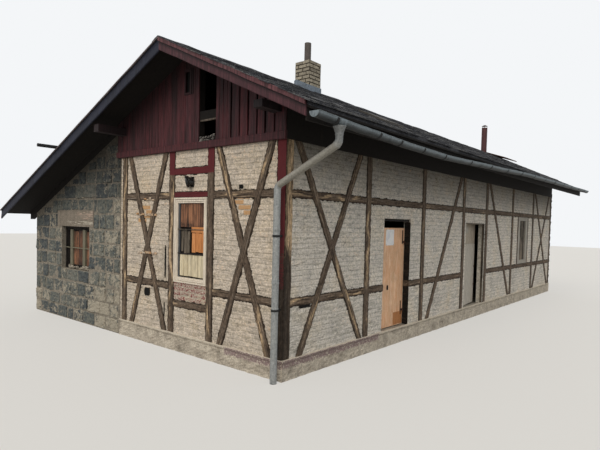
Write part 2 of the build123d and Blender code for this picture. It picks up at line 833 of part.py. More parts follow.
for level in clamp_levels:
    ring = Cylinder(downpipe_radius + clamp_thickness, clamp_height, align=base) - Cylinder(
        downpipe_radius, clamp_height, align=base
    )
    stem = box(pipe_x - clamp_stem / 2, pipe_x + clamp_stem / 2,
               pipe_y + downpipe_radius + clamp_thickness / 2, 0, level, level + clamp_height)
    clamps.append(fused([Pos(pipe_x, pipe_y, level) * ring, stem]))
pieces["gutter_and_pipe_brackets"] = Compound(children=bands + clamps)

# Doors. Each leaf hangs on two eyes that turn about pins fixed to the jamb.
pin_1 = (-door_1_setback + eye_radius, door_1_to - moving_gap - eye_radius)
pin_2 = (
    -door_2_setback - door_2_leaf_thickness - eye_radius,
    door_2_from + moving_gap + eye_radius,
)


def hinge_eye(pin, level):
    ring = Cylinder(eye_radius, eye_height, align=base) - Cylinder(
        pin_radius + pin_play, eye_height, align=base
    )
    return Pos(pin[0], pin[1], level) * ring


def hinge_pin(pin, level, jamb_y):
    """Pin on a square arm that stands in the jamb under the eye."""
    drop = eye_height / 2
    shaft = Pos(pin[0], pin[1], level - drop) * Cylinder(pin_radius, eye_height + drop, align=base)
    near, far = sorted((pin[1], jamb_y))
    arm = box(pin[0] - shoulder, pin[0] + shoulder, near, far, level - drop, level - pin_play)
    return fused([shaft, arm])


def strap(pin, x0, level, direction, length):
    """Flat strap from the eye along the leaf."""
    mid = level + (eye_height - strap_height) / 2
    y0, y1 = sorted((pin[1], pin[1] + direction * length))
    flat = box(x0, x0 + strap_thickness, y0, y1, mid, mid + strap_height)
    bore = Pos(pin[0], pin[1], level) * Cylinder(pin_radius + pin_play, eye_height, align=base)
    return fused([hinge_eye(pin, level), flat - bore])


hinge_levels = (hinge_low, hinge_high)
leaf_1 = box(
    -door_1_setback - door_1_leaf_thickness, -door_1_setback,
    door_1_from + door_gap, door_1_to - moving_gap, door_foot, door_1_leaf_top,
)
door_1_hole = box(
    -door_1_setback - door_1_leaf_thickness, -door_1_setback, door_1_hole_from,
    door_1_hole_from + door_1_hole_width, door_1_hole_foot, door_1_hole_foot + door_1_hole_height,
)
pieces["door_1_leaf"] = leaf_1 - door_1_hole
pieces["door_1_straps"] = Compound(children=[
    strap(pin_1, -door_1_setback, level, -1, door_1_strap_length) for level in hinge_levels
])
leaf_2 = box(
    -door_2_setback - door_2_leaf_thickness, -door_2_setback,
    door_2_from + moving_gap, door_2_to - door_gap, door_foot, door_2_leaf_top,
)
straps_2 = Compound(children=[
    strap(pin_2, -door_2_setback - door_2_leaf_thickness - strap_thickness, level, 1, door_2_strap_length)
    for level in hinge_levels
])
swing_axis = Axis((pin_2[0], pin_2[1], 0), (0, 0, 1))
pieces["door_2_leaf"] = leaf_2.rotate(swing_axis, door_2_ajar)
pieces["door_2_straps"] = straps_2.rotate(swing_axis, door_2_ajar)
pins = [hinge_pin(pin_1, level, door_1_to) for level in hinge_levels]
pins += [hinge_pin(pin_2, level, door_2_from) for level in hinge_levels]
pieces["door_hinge_pins"] = Compound(children=pins)

# Lamp over the gable window, and the bar that lies along the left verge
lamp_x = window_left + lamp_from_window_side
lamp_z = frame_height - lamp_under_frame_top
lamp = Pos(lamp_x, infill_recess, lamp_z) * Rot(90, 0, 0) * Cylinder(lamp_radius, lamp_depth, align=base)
pieces["wall_lamp"] = lamp
bar_x = left_tip + verge_bar_from_eave
bar_z = roof_z(bar_x, -verge_bar_radius) + seat_gap
bar = Pos(bar_x, roof_front - verge_bar_past + verge_bar_length, bar_z) * Rot(90, 0, 0) * Cylinder(
    verge_bar_radius, verge_bar_length, align=base
)
pieces["verge_bar"] = bar

# The part's own frame: middle of the outer box, standing on z = 0
x_high = gutter_x + gutter_radius + gutter_band_thickness
middle_x = (left_tip + x_high) / 2
middle_y = (roof_front - verge_bar_past + gutter_end) / 2
to_part = Location((-middle_x, -middle_y, plinth_height))

os.makedirs("parts", exist_ok=True)
for name, shape in pieces.items():
    export_step(to_part * shape, "parts/" + name + ".step")

print("nodes", len(pieces))
print("door 1 pin", [round(v / 1000, 4) for v in (pin_1[0] - middle_x, pin_1[1] - middle_y, plinth_height)])
print("door 2 pin", [round(v / 1000, 4) for v in (pin_2[0] - middle_x, pin_2[1] - middle_y, plinth_height)])
print("part origin in wall coordinates", middle_x, middle_y)
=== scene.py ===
# %% [markdown]
# # A small half-timbered railway station
#
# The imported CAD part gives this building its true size: a timber-framed body with brick
# infill, a stone lean-to under the long slope of the roof, and two doors on the platform
# side. Here it gets its bricks, boards, stones and slates, and the finishes of old wood,
# limewash and rust. Everything is worked out in metres, in the CAD part's own frame.

from functools import partial

import bpy
import numpy as np
from mathutils import Matrix, Vector


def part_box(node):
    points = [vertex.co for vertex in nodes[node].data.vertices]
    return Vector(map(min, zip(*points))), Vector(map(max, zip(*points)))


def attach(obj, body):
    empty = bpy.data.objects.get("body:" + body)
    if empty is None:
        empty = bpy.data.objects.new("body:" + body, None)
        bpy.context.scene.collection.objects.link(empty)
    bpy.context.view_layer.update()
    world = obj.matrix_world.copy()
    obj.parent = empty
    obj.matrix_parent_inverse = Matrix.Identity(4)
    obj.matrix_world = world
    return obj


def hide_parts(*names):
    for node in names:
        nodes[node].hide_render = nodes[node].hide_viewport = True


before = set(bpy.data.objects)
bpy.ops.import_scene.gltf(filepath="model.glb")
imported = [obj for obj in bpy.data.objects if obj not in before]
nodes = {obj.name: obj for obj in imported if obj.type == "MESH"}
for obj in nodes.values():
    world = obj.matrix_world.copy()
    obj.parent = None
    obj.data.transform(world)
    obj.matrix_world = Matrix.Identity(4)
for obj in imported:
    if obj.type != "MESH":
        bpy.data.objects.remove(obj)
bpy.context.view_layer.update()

# %% [markdown]
# The walls are set out from the corner between the gable and the platform side, at the top
# of the plinth, because a carpenter would measure from there. The plinth's own box says
# where that corner lies in the CAD frame, so nothing has to be fitted by hand.

# %% The corner that everything is measured from
plinth_low, plinth_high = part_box("plinth")
CORNER = np.array([plinth_high.x, plinth_low.y, plinth_high.z])
LENGTH = plinth_high.y - plinth_low.y
BODY_LEFT = plinth_low.x - plinth_high.x
LEAN_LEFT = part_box("stone_side_wall")[0].x - CORNER[0]
PLINTH = plinth_high.z
WALL_TOP = 3.02
RIDGE = np.array([BODY_LEFT / 2, 4.6178])
PITCH_RIGHT, PITCH_LEFT = np.radians(24.56), np.radians(22.79)
print("corner at", CORNER.round(3), "body", round(-BODY_LEFT, 3), "x", round(LENGTH, 3))


def roof_z(x, depth):
    """Height over the plinth of the roof surface, `depth` metres under its top: the ridge
    height less the distance from the ridge times the slope."""
    x = np.asarray(x, float)
    right = RIDGE[1] - (x - RIDGE[0]) * np.tan(PITCH_RIGHT) - depth / np.cos(PITCH_RIGHT)
    left = RIDGE[1] - (RIDGE[0] - x) * np.tan(PITCH_LEFT) - depth / np.cos(PITCH_LEFT)
    return np.where(x >= RIDGE[0], right, left)


# %% [markdown]
# The camera stands where the photographer stood, a little above eye level of the platform
# and looking almost level, so that upright lines stay upright. A small shift keeps the
# picture's frame. Nothing else of the camera is used by any finish.

# %% Camera
FOCAL, CENTRE, PICTURE, SENSOR = 496.576, (305.052, 244.095), (600, 450), 36.0
YAW, PITCH, ROLL = 0.689059, -0.041515, 0.025048
STAND = CORNER + np.array([4.46637, -4.98500, 1.89229])


def put(name, data):
    """A new object in the scene."""
    made = bpy.data.objects.new(name, data)
    bpy.context.scene.collection.objects.link(made)
    return made


ahead = np.array([-np.sin(YAW) * np.cos(PITCH), np.cos(YAW) * np.cos(PITCH), np.sin(PITCH)])
level = np.array([np.cos(YAW), np.sin(YAW), 0.0])
above = np.cross(level, ahead)
right = np.cos(ROLL) * level + np.sin(ROLL) * above
upward = -np.sin(ROLL) * level + np.cos(ROLL) * above
camera_data = bpy.data.cameras.new("camera")
camera = put("camera", camera_data)
turn = Matrix([[right[i], upward[i], -ahead[i]] for i in range(3)])
camera.matrix_world = Matrix.Translation(Vector(STAND)) @ turn.to_4x4()
camera_data.sensor_width = SENSOR
camera_data.lens = FOCAL / PICTURE[0] * SENSOR
camera_data.shift_x = (PICTURE[0] / 2 - CENTRE[0]) / PICTURE[0]
camera_data.shift_y = (CENTRE[1] - PICTURE[1] / 2) / PICTURE[0]
camera_data.clip_end = 200
bpy.context.scene.camera = camera
print("camera at", STAND.round(3), "lens", round(camera_data.lens, 2), "mm")

# %% [markdown]
# A colour is written as the hex value that a paint chart would give, and turned to the
# linear numbers that Blender's shaders count in. One small function adds a node, sets it
# and joins it up, so that each finish below reads as a list of its layers.

# %% Colour and node helpers
PRESET = {"Mix": {"data_type": "RGBA"}}
INPUTS = {"Mix": (0, 6, 7)}
RESULT = {"Attribute": "Fac", "Mix": 2, "TexCoord": "Object", "SeparateXYZ": "Z"}


def linear(code):
    """sRGB hex to linear RGBA: below 0.04045 divide by 12.92, above it raise to 2.4."""
    c = np.array([int(code[i:i + 2], 16) for i in (1, 3, 5)]) / 255
    return (*np.where(c <= 0.04045, c / 12.92, ((c + 0.055) / 1.055) ** 2.4), 1.0)


def add_node(tree, kind, *inputs, **settings):
    """Adds one node and returns its result. The inputs come in the node's own order: value,
    from low, from high, to low, to high for MapRange, and factor, A, B for Mix, which mixes
    colours. A setting is a property or a named input. A result given as a value is joined,
    a hex string is a colour, and `stops` is the list of a colour ramp."""
    made = tree.nodes.new("ShaderNode" + kind)
    numbered = dict(zip(INPUTS.get(kind, range(len(inputs))), inputs))
    for key, value in {**PRESET.get(kind, {}), **settings, **numbered}.items():
        if key == "stops":
            elements = made.color_ramp.elements
            while len(elements) < len(value):
                elements.new(0.5)
            for stop, (place, colour) in zip(elements, value):
                stop.position, stop.color = place, linear(colour)
        elif isinstance(value, bpy.types.NodeSocket):
            tree.links.new(value, made.inputs[key])
        elif isinstance(key, str) and hasattr(made, key):
            setattr(made, key, value)
        else:
            made.inputs[key].default_value = linear(value) if isinstance(value, str) else value
    return made.outputs[RESULT.get(kind, 0)] if made.outputs else None


def start(name, roughness=0.5, specular=0.5, metallic=0.0):
    """A new finish with its Principled shader, the function that adds a node to it, and the
    Object coordinates."""
    made = bpy.data.materials.new(name)
    made.use_nodes = True
    made.node_tree.nodes.clear()
    add = partial(add_node, made.node_tree)
    surface = add("BsdfPrincipled", Roughness=roughness, Metallic=metallic,
                  **{"Specular IOR Level": specular})
    add("OutputMaterial", surface)
    return made, add, add("TexCoord")


def dress(made, colour, height=None, strength=0.0, distance=0.0, roughness=None):
    """Joins a colour, a bump from `height` and a roughness to the finish's shader."""
    tree = made.node_tree
    joins = {"Base Color": colour, "Roughness": roughness}
    if height is not None:
        joins["Normal"] = add_node(tree, "Bump", Strength=strength, Distance=distance, Height=height)
    for key, source in joins.items():
        if source is not None:
            tree.links.new(source, tree.nodes["Principled BSDF"].inputs[key])
    return made


def product(add, first, *others):
    """The product of any number of values, for which `add` makes a chain of nodes."""
    for other in others:
        first = add("Math", first, other, operation="MULTIPLY")
    return first


print("white is", linear("#ffffff")[:3])

# %% [markdown]
# The floor is a pale sheet and the sky a pale grey, which only camera, gloss and glass
# rays see as white. The building itself is lit by a soft even world and one broad lamp
# from the left front, as under a bright overcast sky, so the deep eaves stay dark.

# %% Floor, sky and lamp
SKY_LIGHT, LAMP_LIGHT, LAMP_SOFTNESS, LAMP_FROM = 0.62, 1.55, 0.9, (0.35, -0.85, 0.75)
FLOOR_GLOW, FLOOR_HALF = 0.55, 60


def seen_rays(add):
    """1 for the rays of camera, gloss and glass, else 0."""
    ray = add("LightPath").node.outputs
    seen = ray["Is Camera Ray"]
    for kind in ("Is Glossy Ray", "Is Transmission Ray"):
        seen = add("Math", seen, ray[kind], operation="MAXIMUM")
    return seen


world = bpy.data.worlds.new("pale_sky")
world.use_nodes = True
bpy.context.scene.world = world
world.node_tree.nodes.clear()
add = partial(add_node, world.node_tree)
sky = add("Background", Color="#eef1f4", Strength=SKY_LIGHT)
shown = add("Background", Color="#f4f6f8", Strength=1.0)
add("OutputWorld", add("MixShader", seen_rays(add), sky, shown))

lamp_data = bpy.data.lights.new("broad_lamp", "SUN")
lamp_data.energy = LAMP_LIGHT
lamp_data.angle = LAMP_SOFTNESS
lamp_data.color = linear("#fff6ea")[:3]
lamp = put("broad_lamp", lamp_data)
lamp.rotation_euler = Vector(LAMP_FROM).to_track_quat("Z", "Y").to_euler()

floor_mesh = bpy.data.meshes.new("floor")
corners = [(x * FLOOR_HALF, y * FLOOR_HALF, 0) for x, y in ((-1, -1), (1, -1), (1, 1), (-1, 1))]
floor_mesh.from_pydata(corners, [], [(0, 1, 2, 3)])
floor = put("floor", floor_mesh)
made, add, place = start("pale_floor", 0.9, 0.2)
surface, output = made.node_tree.nodes["Principled BSDF"], made.node_tree.nodes["Material Output"]
surface.inputs["Base Color"].default_value = linear("#8a867e")
white = add("Emission", Color="#f0efec", Strength=FLOOR_GLOW)
nothing = add("Emission", Color="#000000", Strength=0.0)
glow = add("MixShader", seen_rays(add), nothing, white)
made.node_tree.links.new(add("AddShader", surface.outputs[0], glow), output.inputs["Surface"])
floor_mesh.materials.append(made)
bpy.context.scene.view_settings.view_transform = "Standard"
print("sky", SKY_LIGHT, "lamp", LAMP_LIGHT)

# %% [markdown]
# ## Shapes
#
# A wall is a flat frame of its own: an origin, a direction along it, one up it and one out
# of it, always right-handed, so that a patch drawn anticlockwise in it faces outwards. The
# same brick, board or timber function then serves the gables, the sides and both slopes.

# %% Wall frames
UP = (0, 0, 1)


class Wall:
    """A flat frame on the building. `at` gives origin + along*s + up*t + out*h."""

    def __init__(self, origin, along, up=UP, name=""):
        self.name = name
        self.origin, self.along, self.up = (np.array(v, float) for v in (origin, along, up))
        self.out = np.cross(self.along, self.up)

    def at(self, s, t, h):
        s, t, h = np.broadcast_arrays(np.asarray(s, float), t, h)
        return (self.origin + s[..., None] * self.along + t[..., None] * self.up
                + h[..., None] * self.out)


front = Wall((0, 0, 0), (1, 0, 0), name="front")
rear = Wall((0, LENGTH, 0), (-1, 0, 0), name="rear")
side = Wall((0, 0, 0), (0, 1, 0), name="side")
lean_side = Wall((LEAN_LEFT, 0, 0), (0, -1, 0))
ridge_line = (RIDGE[0], 0, RIDGE[1])
slope_right = Wall(ridge_line, (0, 1, 0), (-np.cos(PITCH_RIGHT), 0, np.sin(PITCH_RIGHT)))
slope_left = Wall(ridge_line, (0, -1, 0), (np.cos(PITCH_LEFT), 0, np.sin(PITCH_LEFT)))
print("gable faces", front.out, "platform side faces", side.out, "lean-to faces", lean_side.out)

# %% [markdown]
# Old work is never quite straight. `wave` is a line that wanders: five sines of unlike
# length with random phases. `ripple` does the same over a surface. Both take whole arrays
# and a seed, so each run gives the same building.

# %% Unevenness


def wave(x, seed, length):
    """Sum of five sines whose wavelengths lie about `length`, scaled to about -1..1."""
    r = np.random.default_rng(seed)
    k = 2 * np.pi / (length * r.uniform(0.45, 1.7, 5))
    return np.sin(np.asarray(x, float)[..., None] * k + r.uniform(0, 6.28, 5)).sum(-1) / 2.8


def ripple(x, y, seed, length):
    """Sum of nine plane waves in random directions, wavelengths about `length`."""
    r = np.random.default_rng(seed)
    k = 2 * np.pi / (length * r.uniform(0.4, 1.6, 9))
    a = r.uniform(0, 6.28, 9)
    x, y = np.asarray(x, float)[..., None], np.asarray(y, float)[..., None]
    return np.sin((x * np.cos(a) + y * np.sin(a)) * k + r.uniform(0, 6.28, 9)).sum(-1) / 3.6


def grid_faces(n, m, closed=False, count=1):
    """Quads of `count` grids of n by m points, the second way round closed if asked."""
    i, j = np.meshgrid(np.arange(n - 1), np.arange(m if closed else m - 1), indexing="ij")
    k = (j + 1) % m
    one = np.stack([i * m + j, i * m + k, (i + 1) * m + k, (i + 1) * m + j], -1).reshape(-1, 4)
    return (one[None] + (np.arange(count) * n * m)[:, None, None]).reshape(-1, 4)


class Heap:
    """Collects the points, faces and values of one piece before it becomes a mesh."""

    def __init__(self):
        self.points, self.faces, self.values, self.uvs, self.n, self.coats = [], [], {}, [], 0, []

    def take(self, points, faces, uv=None, caps=(), coat=0, **values):
        """Adds points, faces on them, end caps and point values. A value that other parts of
        the piece don't have is 0 there."""
        points = np.asarray(points, float).reshape(-1, 3)
        size = len(points)
        self.points.append(points)
        self.faces += (np.asarray(faces) + self.n).tolist() + [[int(v) + self.n for v in c] for c in caps]
        self.coats += [coat] * (len(faces) + len(caps))
        self.uvs.append(np.zeros((size, 2)) if uv is None else np.asarray(uv, float).reshape(-1, 2))
        for key in set(values) | set(self.values):
            old = self.values.setdefault(key, np.zeros(self.n))
            new = np.asarray(values.get(key, 0.0), float).reshape(-1)
            self.values[key] = np.concatenate([old, np.broadcast_to(new, (size,))])
        self.n += size


def piece(name, heap, finish, body="root", replaces=(), smooth=False):
    """Turns a heap into one object at the origin, gives it its finishes (one for each coat number), its UV
    map and attributes, hangs it on the empty of its body and hides the CAD nodes that it replaces."""
    mesh = bpy.data.meshes.new(name)
    points = np.concatenate(heap.points) + CORNER
    mesh.from_pydata(points.tolist(), [], heap.faces)
    uv = np.concatenate(heap.uvs)
    loops = np.zeros(len(mesh.loops), np.int32)
    mesh.loops.foreach_get("vertex_index", loops)
    layer = mesh.uv_layers.new(name="grain")
    layer.data.foreach_set("uv", uv[loops].astype(np.float32).ravel())
    for key, value in heap.values.items():
        mesh.attributes.new(key, "FLOAT", "POINT").data.foreach_set("value", value.astype(np.float32))
    mesh.polygons.foreach_set("use_smooth", np.full(len(mesh.polygons), smooth))
    for one in finish if isinstance(finish, list) else [finish]:
        mesh.materials.append(one)
    mesh.polygons.foreach_set("material_index", np.array(heap.coats, np.int32))
    mesh.validate()
    made = put(name, mesh)
    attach(made, body)
    if replaces:
        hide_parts(*replaces)
    triangles = sum(len(p.vertices) - 2 for p in mesh.polygons)
    print(f"{name}: {triangles} triangles")


print("a wave of 1 m over 1 m:", wave(np.linspace(0, 1, 5), 1, 1.0).round(2))

# %% [markdown]
# ## Finishes
#
# Each finish is named for what it is. The colours come from looking at the building, the
# scales from real sizes: growth rings and checks in oak are some millimetres apart, the
# grit of the limewash one or two, stains a hand or an arm wide.

# %% Old oak timber
# Weathered oak: brown-grey where rain has leached it, ochre where the surface has split
# away, with dark checks along the grain. It is dry and dull, so nearly no gloss.


def oak(name, worn, pale, dark, stains, streak):
    """Timber whose grain follows the UV map (u along it in metres). `paint` is a point
    attribute: where it is high, old red paint covers the wood but for flaked patches."""
    made, add, place = start(name, 0.88, 0.25)
    tone, paint, edge, soot, fresh = (
        add("Attribute", attribute_name=key) for key in ("tone", "paint", "edge", "soot", "split"))
    spread = add("VectorMath", add("CombineXYZ", tone, tone, tone), operation="SCALE", Scale=7.0)
    grain = add("VectorMath", add("UVMap", uv_map="grain"), spread, operation="ADD")
    long_, fine, check = (add("Mapping", grain, Scale=(*scale, 1.0))
                          for scale in ((2.4, 38.0), (9.0, 190.0), (2.2, 60.0)))
    broad = add("TexNoise", long_, Scale=1.0, Detail=5.0, Roughness=0.62, Distortion=0.5)
    fibre = add("TexNoise", fine, Scale=1.0, Detail=3.0, Roughness=0.6)
    crack = add("TexNoise", check, Scale=1.0, Detail=2.0, Distortion=0.8)
    patch, lumps, flake = (
        add("TexNoise", place, Scale=scale, Detail=detail, Roughness=roughness)
        for scale, detail, roughness in ((2.1, 4.0, 0.6), (20.0, 6.0, 0.75), (55.0, 6.0, 0.7)))
    body = add("ValToRGB", broad, stops=[(0.3, dark), (0.47, worn), (0.62, stains), (0.8, pale)])
    bare = add("MapRange", product(add, broad, patch), 0.305, 0.37, 0.0, streak)
    bare = product(add, bare, add("MapRange", soot, 0.1, 0.5, 1.0, 0.0))
    peel = product(add, add("MapRange", broad, 0.44, 0.50), fresh)
    bare = add("Math", bare, peel, operation="MAXIMUM")
    ochre = add("Mix", bare, body, "#e2c49d")
    fibres = add("MapRange", fibre, 0.3, 0.7, 0.42, 1.5)
    lumpy = add("MapRange", lumps, 0.3, 0.7, 0.42, 1.55)
    # Painted shade: the point attribute `edge` darkens the wood towards the timber's edges, as the shadow
    # lines that run along them.
    rim = add("Math", broad, 0.9, edge, operation="MULTIPLY_ADD")
    rim = add("MapRange", rim, 1.10, 1.48, 1.0, 0.34)
    sooty = add("MapRange", soot, 0.0, 1.0, 1.0, 0.30)
    shade = add("VectorMath", ochre, operation="SCALE", Scale=product(add, rim, sooty, fibres, lumpy))
    split = add("MapRange", crack, 0.30, 0.37, 1.0, 0.0)
    checked = add("Mix", split, shade, "#241d17")
    cover = add("MapRange", add("Math", paint, flake, operation="SUBTRACT"), -0.02, 0.05)
    reds = add("Mix", patch, "#6e2c30", "#55262a")
    painted = add("Mix", cover, checked, reds)
    height = add("Math", split, -1.6, fibre, operation="MULTIPLY_ADD")
    return dress(made, painted, height, 0.75, 0.006)


timber_finish = oak("weathered_oak", "#6b5b4d", "#b0a498", "#2c2520", "#7e7062", 0.30)
# The second oak is nearly black: dark old wood deepened by painted shade, for the timbers under the eaves, in
# the loft and deep in openings.
shaded_oak_finish = oak("oak_in_painted_shade", "#171310", "#292320", "#0c0b0a", "#1c1815", 0.02)
print("timber finishes made")

# %% Limewashed brick
# Soft handmade brick under many coats of limewash: chalky, beige-grey, stained by rain and
# soot, with the fired clay showing where the wash has come off. `bare` is a point attribute.


def shade_under_eaves(add, place, factor, eaves):
    """Multiplies a factor by 1 below the first height of `eaves`, falling to its third value at the second
    height: painted shade under the roof."""
    low, high, least = eaves
    return product(add, factor, add("MapRange", add("SeparateXYZ", place), low, high, 1.0, least))


def limewash(name, wash, warm, grey, clay, contrast, eaves=None):
    """Limewash over brick: large stains, mid-size mottling as strong as `contrast` says, grit
    of 2 mm, and clay patches."""
    made, add, place = start(name, 0.93, 0.15)
    tone, bare, rose = (add("Attribute", attribute_name=key) for key in ("tone", "bare", "rose"))
    stain, mottle, crumb, grit = (
        add("TexNoise", place, Scale=scale, Detail=detail, Roughness=roughness)
        for scale, detail, roughness in (
            (1.7, 6.0, 0.65), (22.0, 6.0, 0.72), (48.0, 5.0, 0.8), (240.0, 3.0, 0.7)))
    # Lying dashes of noise: the dark ones are painted shade of the bed joints, the pale ones white bits of
    # wash.
    lying = add("Mapping", place, Scale=(6.5, 6.5, 24.0))
    dash = add("TexNoise", lying, Scale=1.0, Detail=5.0, Roughness=0.75)
    base = add("ValToRGB", stain, stops=[(0.28, grey), (0.5, wash), (0.72, warm)])
    lively = add("MapRange", mottle, 0.28, 0.72, 1 - 0.50 * contrast, 1 + 0.48 * contrast)
    light = product(add, lively, *(add("MapRange", *values) for values in (
        (tone, 0.0, 1.0, 0.94, 1.04), (crumb, 0.3, 0.7, 0.66, 1.38),
        (dash, 0.34, 0.44, 0.52, 1.0), (dash, 0.54, 0.68, 1.0, 1.2))))
    if eaves:
        light = shade_under_eaves(add, place, light, eaves)
    shade = add("VectorMath", base, operation="SCALE", Scale=light)
    worn = add("Math", tone, 0.35, mottle, operation="MULTIPLY_ADD")
    worn = add("MapRange", worn, 0.86, 0.98, 0.0, 0.65)
    through = add("Math", worn, bare, operation="MAXIMUM")
    clays = add("Mix", mottle, clay, "#c9ab7c")
    mixed = add("Mix", through, shade, clays)
    flakes = product(add, add("MapRange", crumb, 0.47, 0.53), rose)
    mixed = add("Mix", flakes, mixed, "#8a4746")
    speck = add("MapRange", mottle, 0.30, 0.36, 0.55, 1.0)
    spotted = add("VectorMath", mixed, operation="SCALE", Scale=speck)
    height = add("Math", mottle, 3.0, grit, operation="MULTIPLY_ADD")
    height = add("Math", dash, 3.0, height, operation="MULTIPLY_ADD")
    return dress(made, spotted, height, 0.85, 0.006)


gable_brick = limewash("limewashed_brick_gable", "#dccfbf", "#dfcfb8", "#c6bcae", "#dd9a5e", 0.78)
SIDE_SHADE = (PLINTH + 2.25, PLINTH + 3.05, 0.38)
side_brick = limewash("limewashed_brick_side", "#e6dfd4", "#e6dac6", "#d2cdc5", "#a06a48", 0.62, SIDE_SHADE)
gable_mortar = limewash("limewashed_mortar_gable", "#cbbfae", "#cdbda3", "#b5ab9c", "#a58667", 0.78)
side_mortar = limewash("limewashed_mortar_side", "#d4cec2", "#d4c8b4", "#bab6ad", "#a58667", 0.62, SIDE_SHADE)
print("limewash finishes made")

# %% Slag stone, mortar and concrete


def masonry(name, colours, mottle_size, rough, strength, smear=None, eaves=None):
    """Stone, mortar or concrete: a ramp of colours over noise whose cells are `mottle_size`
    metres, dark pores of a few millimetres, and a bump from them. `smear` is the colour of
    mortar spread over it, where the point attribute of that name is high."""
    made, add, place = start(name, rough, 0.25)
    tone = add("Attribute", attribute_name="tone")
    cloud = add("TexNoise", place, Scale=1 / mottle_size, Detail=8.0, Roughness=0.7)
    mixed = add("Math", tone, 0.22, cloud, operation="MULTIPLY_ADD")
    stops = [(0.32 + 0.5 * i / (len(colours) - 1), c) for i, c in enumerate(colours)]
    colour = add("ValToRGB", mixed, stops=stops)
    pore = add("TexNoise", place, Scale=70.0, Detail=4.0, Roughness=0.75)
    pores = add("MapRange", pore, 0.34, 0.6, 0.5, 1.12)
    if smear:
        spread = add("Attribute", attribute_name="smear")
        rag = add("TexNoise", place, Scale=7.0, Detail=9.0, Roughness=0.8, Distortion=0.4)
        cover = add("Math", spread, 0.35, rag, operation="MULTIPLY_ADD")
        colour = add("Mix", add("MapRange", cover, 0.62, 0.68), colour, smear)
    if eaves:
        pores = shade_under_eaves(add, place, pores, eaves)
    return dress(made, add("VectorMath", colour, operation="SCALE", Scale=pores), pore, strength, 0.008)


STONE_SHADE = (PLINTH + 1.85, PLINTH + 2.95, 0.30)
SLAG, SLAG_JOINT = ["#33383b", "#50565a", "#71756f", "#908d83"], ["#79736a", "#a39b8d", "#c0b8aa"]
slag_finish = masonry("slag_stone", SLAG, 0.07, 0.85, 0.8, "#b5ad9c", STONE_SHADE)
slag_mortar = masonry("stone_mortar", SLAG_JOINT, 0.05, 0.95, 0.9, None, STONE_SHADE)
concrete_finish = masonry("old_concrete", ["#857f74", "#a19a8d", "#b5ad9f", "#c4bcad"], 0.22, 0.92, 0.8)
lintel_finish = masonry("cast_lintel", ["#7d7468", "#9c9285", "#b1a496"], 0.12, 0.9, 0.5)
chimney_finish = masonry("chimney_brick", ["#7f786b", "#a59d8c", "#bdb49f"], 0.10, 0.9, 0.5)
chimney_joint = masonry("sooty_joint", ["#332e28", "#544d44", "#71685b"], 0.06, 0.95, 0.5)
slate_finish = masonry("weathered_slate", ["#1c1d21", "#35363b", "#4d4e52", "#716f6b"], 0.045, 0.8, 0.8)
litter_finish = masonry("loft_litter", ["#1c1a1a", "#55524f", "#8f8b86", "#c4c0bb"], 0.03, 0.95, 0.6)
print("masonry finishes made")

# %% Painted boards


def paint_on_boards(name, fresh, faded, wood, wear, runs=0.0):
    """Old oil paint on upright boards: grain of 5 mm runs up through it, the colour fades in cloudy patches,
    rain has drawn trails down it as strong as `runs` says, and it wears through to grey wood where `wear`
    says. Where the point attribute `dim` is high the colour is darkened to 0.12 of itself: painted shade
    under the roof and under the trims."""
    made, add, place = start(name, 0.7, 0.3)
    tone, dim = (add("Attribute", attribute_name=key) for key in ("tone", "dim"))
    upright = add("Mapping", place, Scale=(1.0, 1.0, 0.06))
    grain = add("TexNoise", upright, Scale=110.0, Detail=4.0, Roughness=0.65)
    cloud = add("TexNoise", place, Scale=3.0, Detail=6.0, Roughness=0.65)
    trail = add("Mapping", place, Scale=(1.0, 1.0, 0.05))
    trail = add("TexNoise", trail, Scale=24.0, Detail=5.0, Roughness=0.7)
    mixed = add("Math", tone, 0.5, cloud, operation="MULTIPLY_ADD")
    base = add("Mix", add("MapRange", mixed, 0.4, 1.1), fresh, faded)
    lines = add("MapRange", grain, 0.3, 0.7, 0.60, 1.34)
    shade = add("VectorMath", base, operation="SCALE", Scale=lines)
    off = add("MapRange", product(add, grain, cloud), 0.40 - wear, 0.47 - wear)
    worn = add("Mix", off, shade, wood)
    wet = add("MapRange", trail, 0.40, 0.62, 1.0 - runs, 1.0 + 0.35 * runs)
    dark = product(add, wet, add("MapRange", dim, 0.0, 1.0, 1.0, 0.12))
    return dress(made, add("VectorMath", worn, operation="SCALE", Scale=dark), grain, 0.5, 0.003)


red_finish = paint_on_boards("oxblood_paint", "#57282c", "#48292d", "#4a3c3a", 0.0, 0.72)
barge_finish = paint_on_boards("dark_oxblood_paint", "#45242a", "#523338", "#6b5a5a", 0.04, 0.5)
trim_finish = paint_on_boards("oxblood_paint_bleached", "#5f383c", "#6f4d50", "#857473", 0.07, 0.6)
beam_finish = paint_on_boards("dusty_beam", "#74695e", "#5c5249", "#453d36", 0.0, 0.4)
shaded_finish = paint_on_boards("oxblood_paint_in_shade", "#33191c", "#29181a", "#1e1616", 0.0, 0.6)
purlin_finish = paint_on_boards("purlins_in_shade", "#1f1113", "#1a1011", "#151010", 0.0, 0.6)
verge_shade_finish = paint_on_boards("blue_black_painted_shade", "#232736", "#2e3142", "#454d60", 0.0, 0.4)
cream_finish = paint_on_boards("cream_oil_paint", "#efe5d6", "#e2d6c3", "#a99880", -0.01)
board_cream = paint_on_boards("cream_boards", "#efe2c3", "#dfd0ad", "#9a8668", 0.02, 0.25)
white_finish = paint_on_boards("flaking_white_paint", "#b3aea4", "#9f998e", "#6b635a", 0.06)
brown_finish = paint_on_boards("bare_brown_boards", "#a37355", "#6b4a3a", "#2c1c14", 0.14, 0.8)
orange_finish = paint_on_boards("new_plywood_patch", "#de9a63", "#c47f48", "#8a5530", 0.01)
grey_finish = paint_on_boards("silvered_planks", "#8b7f6f", "#5f564a", "#2a241e", 0.12, 0.8)
print("paint finishes made")

# %% Metals


